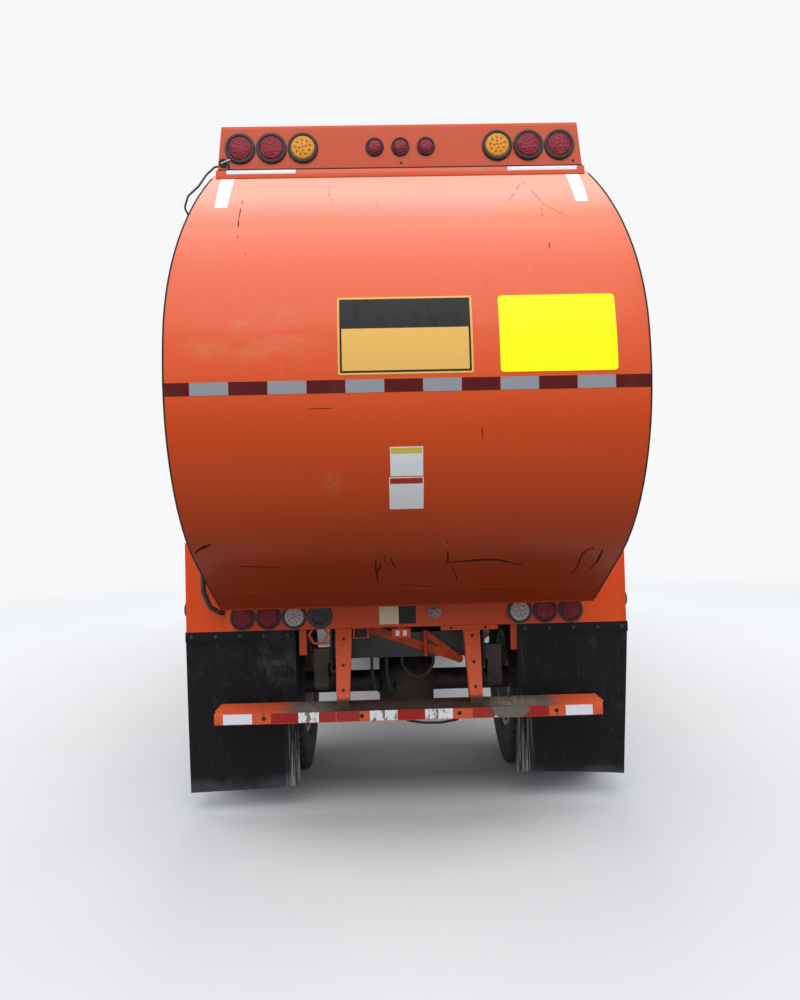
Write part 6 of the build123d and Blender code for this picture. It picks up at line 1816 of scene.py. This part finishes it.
class TRUCK_OT_seats(Operator):
    """Builds the two seats: padded base, back and headrest on a pedestal"""
    bl_idname = "truck.seats"
    bl_label = "Seats"

    def execute(self, context):
        padding = Piece("seat_cushions")
        stands = Piece("seat_stands")
        lean = Matrix.Translation((0, 2.305, 1.500)) @ Matrix.Rotation(radians(10), 4, "X")
        for x in SEAT_X:
            base = cushion((x - 0.228, 2.300, 1.370), (x + 0.228, 2.742, 1.530), 2, (-0.45, 0.0, 0.45))
            padding.take(base, "cloth")
            back = cushion((x - 0.220, -0.060, 0.0), (x + 0.220, 0.060, 0.500), 1, (-0.5, -0.17, 0.17, 0.5))
            head = cushion((x - 0.130, -0.045, 0.515), (x + 0.130, 0.045, 0.655), 1, ())
            for part in (back, head):
                bmesh.ops.transform(part, matrix=lean, verts=part.verts[:])
                padding.take(part, "cloth")
            stands.take(block((x - 0.190, 2.300, 1.2005), (x + 0.190, 2.660, 1.250), 0.012, 3), "trim")
            stands.take(block((x - 0.130, 2.340, 1.250), (x + 0.130, 2.620, 1.330), 0.010, 3), "hose")
            stands.take(block((x - 0.200, 2.300, 1.330), (x + 0.200, 2.700, 1.368), 0.010, 3), "trim")
            for side in (-1, 1):
                edge_x, end_x = x + side * 0.222, x + side * 0.215
                rest = [(edge_x, 2.330, 1.400), (edge_x, 2.300, 1.500), (end_x, 2.280, 1.560)]
                stands.take(tube(rest, 0.012), "trim")
        padding.done("cab", "cloth", "seats", sharp=60)
        stands.done("cab", "trim")
        return {"FINISHED"}


# Side arm
ARM_Y = (SLIDE_LOW.y + SLIDE_HIGH.y) / 2
ARM_PIVOT_X, ARM_PIVOT_Z = 1.050, 2.050
SLIDE_FACE_X = 1.0655
SLIDE_BOLTS_Z = (1.16, 1.30, 1.60, 1.90)
BEAM_FACE_X = 1.140
HOSE_OFFSETS = (-0.032, 0.0, 0.032)
HOSE_ROUTE = ((0.010, 0.985), (0.011, 1.20), (0.010, 1.45), (0.010, 1.62), (-0.004, 1.70), (-0.045, 1.78),
              (-0.060, 1.86))
HOSE_CLIPS_Z = (1.06, 1.30, 1.54)
FINGER_PIN_X, FINGER_PIN_SET, FINGER_PIN_RISE = 1.168, 0.300, 0.215


def pin_keepers():
    """Caps on the lift arm's pin and bolts in the mast's face."""
    slide = Piece("arm_pin_keepers")
    for end in (-1, 1):
        y = ARM_Y + end * 0.1455
        slide.take(cap((ARM_PIVOT_X, y, ARM_PIVOT_Z), (0, end, 0), 0.034, 0.006, 0.008, 0.031, 32), "bolt")
        slide.take(bolt((ARM_PIVOT_X, y + end * 0.008, ARM_PIVOT_Z), (0, end, 0), 0.026), "bolt")
    for z in SLIDE_BOLTS_Z:
        for end in (-1, 1):
            slide.take(bolt((SLIDE_FACE_X, ARM_Y + end * 0.045, z), (1, 0, 0), 0.020), "bolt")
    slide.done("arm_slide", "steel")


def arm_hoses():
    """Three hoses along the lift arm with their ends and clips, and the fingers' pin bolts."""
    arm = Piece("arm_hoses")
    for offset in HOSE_OFFSETS:
        y = ARM_Y + offset
        route = [(BEAM_FACE_X + out, y, z) for out, z in HOSE_ROUTE]
        arm.take(tube(route, 0.009), "hose")
        for x, y, z in (route[0], route[-1]):
            arm.take(rod((x, y, z - 0.026), (x, y, z + 0.012), 0.0125, 6), "bolt")
    for z in HOSE_CLIPS_Z:
        arm.take(block((BEAM_FACE_X + 0.0002, ARM_Y - 0.056, z - 0.011),
                       (BEAM_FACE_X + 0.023, ARM_Y + 0.056, z + 0.011), 0.004), "trim")
        for offset in (-0.016, 0.016):
            arm.take(bolt((BEAM_FACE_X + 0.023, ARM_Y + offset, z), (1, 0, 0), 0.011), "bolt")
    for end in (-1, 1):
        pin = (FINGER_PIN_X, ARM_Y + end * FINGER_PIN_SET, LIFT_ARM_FOOT + FINGER_PIN_RISE)
        arm.take(bolt(pin, UPWARD, 0.030), "bolt")
    arm.done("lift_arm", "rubber")


class TRUCK_OT_arm_trim(Operator):
    """Adds the arm's pin keepers, hoses, clips and bolts"""
    bl_idname = "truck.arm_trim"
    bl_label = "Arm trim"

    def execute(self, context):
        pin_keepers()
        arm_hoses()
        return {"FINISHED"}


# Chassis
RAIL_BOLT_PITCH = 0.155
RAIL_BOLTS_Z = (0.790, 0.925)
TANK_RADIUS = 0.285
TANK_Z = 0.650
STRAP_SET = 0.250
AIR_TANK_RADIUS = 0.108
AIR_TANK_Y, BAND_SET = 1.640, 0.135
BAND_HALF, BAND_THICKNESS = 0.016, 0.003
LATCHES_Y = (1.600, 1.750)


def rail_bolts(piece):
    """Two rows of bolt heads along both rails."""
    x = RAILS_HIGH.x
    y = RAILS_LOW.y + 0.120
    while y < RAILS_HIGH.y - 0.05:
        for side in (-1, 1):
            for z in RAIL_BOLTS_Z:
                piece.take(rod((side * (x + 0.0002), y, z), (side * (x + 0.012), y, z), 0.012, 6), "bolt")
        y += RAIL_BOLT_PITCH


def tank_fittings(piece):
    """The fuel tank's cap with its grip, and the bolts of its straps."""
    x, y, top = TANK_LOW.x + TANK_RADIUS + 0.006, TANK_LOW.y + 0.120, TANK_HIGH.z
    lid = [(0, 0), (0, 0.052), (0.010, 0.054), (0.022, 0.050), (0.026, 0.042), (0.026, 0)]
    piece.take(spun(lid, (x, y, top), UPWARD, 36), "aluminium")
    grip = block((x - 0.045, y - 0.008, top + 0.024), (x + 0.045, y + 0.008, top + 0.036), 0.003)
    piece.take(grip, "aluminium")
    reach = TANK_RADIUS + 0.008
    for strap_y in (TANK_LOW.y + STRAP_SET, TANK_HIGH.y - STRAP_SET):
        for side in (-1, 1):
            turn = radians(-90 + side * 26)
            at = Vector((x + cos(turn) * reach, strap_y, TANK_Z + sin(turn) * reach))
            piece.take(bolt(at, (cos(turn), 0, sin(turn)), 0.022), "bolt")


def air_tanks(piece):
    """Bands round the two air tanks, and a drain plug under each."""
    radius = AIR_TANK_RADIUS
    x, top = FRAME_BOXES_HIGH.x - radius, FRAME_BOXES_HIGH.z
    inner, outer = radius + 0.0003, radius + BAND_THICKNESS
    band = [(-BAND_HALF, inner), (-BAND_HALF, outer), (BAND_HALF, outer), (BAND_HALF, inner)]
    for z in (top - radius, top - 3 * radius - 0.020):
        for y in (AIR_TANK_Y - BAND_SET, AIR_TANK_Y + BAND_SET):
            piece.take(spun(band, (x, y, z), FORWARD, 44), "bolt")
        drain = z - radius
        piece.take(rod((x, AIR_TANK_Y, drain - 0.022), (x, AIR_TANK_Y, drain + 0.004), 0.011, 6), "bolt")


def box_latches(piece):
    """Two rubber-hook latches on the battery box."""
    x = FRAME_BOXES_LOW.x + 0.008
    for y in LATCHES_Y:
        piece.take(block((x - 0.006, y - 0.016, 0.780), (x - 0.0003, y + 0.016, 0.850), 0.002), "bolt")
        hook = [(x - 0.006, y, 0.845), (x - 0.016, y, 0.862), (x - 0.012, y, 0.892), (x - 0.004, y, 0.900)]
        piece.take(tube(hook, 0.0045), "bolt")


class TRUCK_OT_chassis_trim(Operator):
    """Adds the rails' bolts, the tank's cap and strap bolts, the air tanks' bands and the box latches"""
    bl_idname = "truck.chassis_trim"
    bl_label = "Chassis trim"

    def execute(self, context):
        piece = Piece("chassis_hardware")
        rail_bolts(piece)
        tank_fittings(piece)
        air_tanks(piece)
        box_latches(piece)
        piece.done("chassis", "steel")
        return {"FINISHED"}


# Stage
CAMERA_PLACE = (-0.098, -6.688, 1.594)
CAMERA_YAW = 0.0188
CAMERA_PITCH = 0.0214
CAMERA_ROLL = -0.0238
FOCAL_PIXELS = 711.8
FRAME_HEIGHT_PIXELS = 1000
SENSOR_MM = 36.0
# Soft lights: name, place, aim, width and power
SOFT_LIGHTS = (("rear_sky", (0, -9.0, 9.5), (0, -3.0, 2.0), 8.0, 560),
               ("front_sky", (0, 10.0, 9.5), (0, 2.5, 2.0), 8.0, 560),
               ("street_sky", (-9.5, 0, 9.0), (0, 0, 1.8), 8.0, 430),
               ("kerb_sky", (9.5, 0, 9.0), (0, 0, 1.8), 8.0, 430))


def placed(scene, name, data, place):
    """A new object in the scene, put in its place."""
    made = bpy.data.objects.new(name, data)
    scene.collection.objects.link(made)
    made.matrix_world = place
    return made


def lay_floor(scene):
    bm = bmesh.new()
    bmesh.ops.create_grid(bm, x_segments=1, y_segments=1, size=60)
    mesh = bpy.data.meshes.new("floor")
    bm.to_mesh(mesh)
    bm.free()
    mesh.materials.append(finish("floor"))
    floor = placed(scene, "floor", mesh, Matrix.Identity(4))


def hang_sky(scene):
    """The world: a white background where it is seen, and a dimmer, bluish sky where it gives light."""
    scene.world = bpy.data.worlds.new("sky")
    sky = Nodes(scene.world)
    lit = sky.node("ShaderNodeBackground", {}, {"Color": (0.80, 0.86, 0.95, 1), "Strength": 0.80})
    seen = sky.node("ShaderNodeBackground", {}, {"Color": BACKDROP, "Strength": 1.0})
    sky.node("ShaderNodeOutputWorld", {}, {"Surface": sky.blend(sky.looked_at(), lit, seen)})


def hang_lights(scene):
    for name, place, aim, size, power in SOFT_LIGHTS:
        light = bpy.data.lights.new(name, "AREA")
        light.size = size
        light.energy = power
        toward = (Vector(aim) - Vector(place)).to_track_quat("-Z", "Y").to_matrix().to_4x4()
        placed(scene, name, light, Matrix.Translation(place) @ toward)


def set_camera(scene):
    """The camera stands where the photo was taken from."""
    data = bpy.data.cameras.new("photo_camera")
    data.sensor_fit = "AUTO"
    data.sensor_width = SENSOR_MM
    data.lens = FOCAL_PIXELS * SENSOR_MM / FRAME_HEIGHT_PIXELS
    data.clip_end = 500
    level = cos(CAMERA_PITCH)
    ahead = Vector((sin(CAMERA_YAW) * level, cos(CAMERA_YAW) * level, sin(CAMERA_PITCH)))
    right = Vector((cos(CAMERA_YAW), -sin(CAMERA_YAW), 0))
    up = right.cross(ahead)
    rolled_right = cos(CAMERA_ROLL) * right + sin(CAMERA_ROLL) * up
    rolled_up = -sin(CAMERA_ROLL) * right + cos(CAMERA_ROLL) * up
    turn = Matrix((rolled_right, rolled_up, -ahead)).transposed().to_4x4()
    scene.camera = placed(scene, "photo_camera", data, Matrix.Translation(CAMERA_PLACE) @ turn)


class TRUCK_OT_stage(Operator):
    """Lays the pale floor, the soft lights and the camera"""
    bl_idname = "truck.stage"
    bl_label = "Stage"

    def execute(self, context):
        scene = context.scene
        scene.view_settings.view_transform = "Standard"
        lay_floor(scene)
        hang_sky(scene)
        hang_lights(scene)
        set_camera(scene)
        return {"FINISHED"}


OPERATORS = (TRUCK_OT_finishes, TRUCK_OT_lamps, TRUCK_OT_tailgate_trim, TRUCK_OT_rear_trim, TRUCK_OT_flaps,
             TRUCK_OT_wheels, TRUCK_OT_body_trim, TRUCK_OT_cab_trim, TRUCK_OT_seats, TRUCK_OT_arm_trim,
             TRUCK_OT_chassis_trim, TRUCK_OT_stage)


class TRUCK_PT_panel(Panel):
    """Lists the truck's operators and sizes"""
    bl_idname = "TRUCK_PT_panel"
    bl_label = "Refuse truck"
    bl_space_type = "VIEW_3D"
    bl_region_type = "UI"
    bl_category = "Truck"

    def draw(self, context):
        column = self.layout.column()
        for operator in OPERATORS:
            column.operator(operator.bl_idname)
        for group in (context.scene.truck_sizes, context.scene.truck_colours):
            for key in group.__annotations__:
                column.prop(group, key)


CLASSES = (TruckSizes, TruckColours, *OPERATORS, TRUCK_PT_panel)


def register():
    for cls in CLASSES:
        bpy.utils.register_class(cls)
    bpy.types.Scene.truck_sizes = PointerProperty(type=TruckSizes)
    bpy.types.Scene.truck_colours = PointerProperty(type=TruckColours)


def unregister():
    del bpy.types.Scene.truck_colours
    del bpy.types.Scene.truck_sizes
    for cls in reversed(CLASSES):
        bpy.utils.unregister_class(cls)


def main():
    register()
    for operator in OPERATORS:
        group, name = operator.bl_idname.split(".")
        getattr(getattr(bpy.ops, group), name)()


if __name__ == "__main__":
    main()
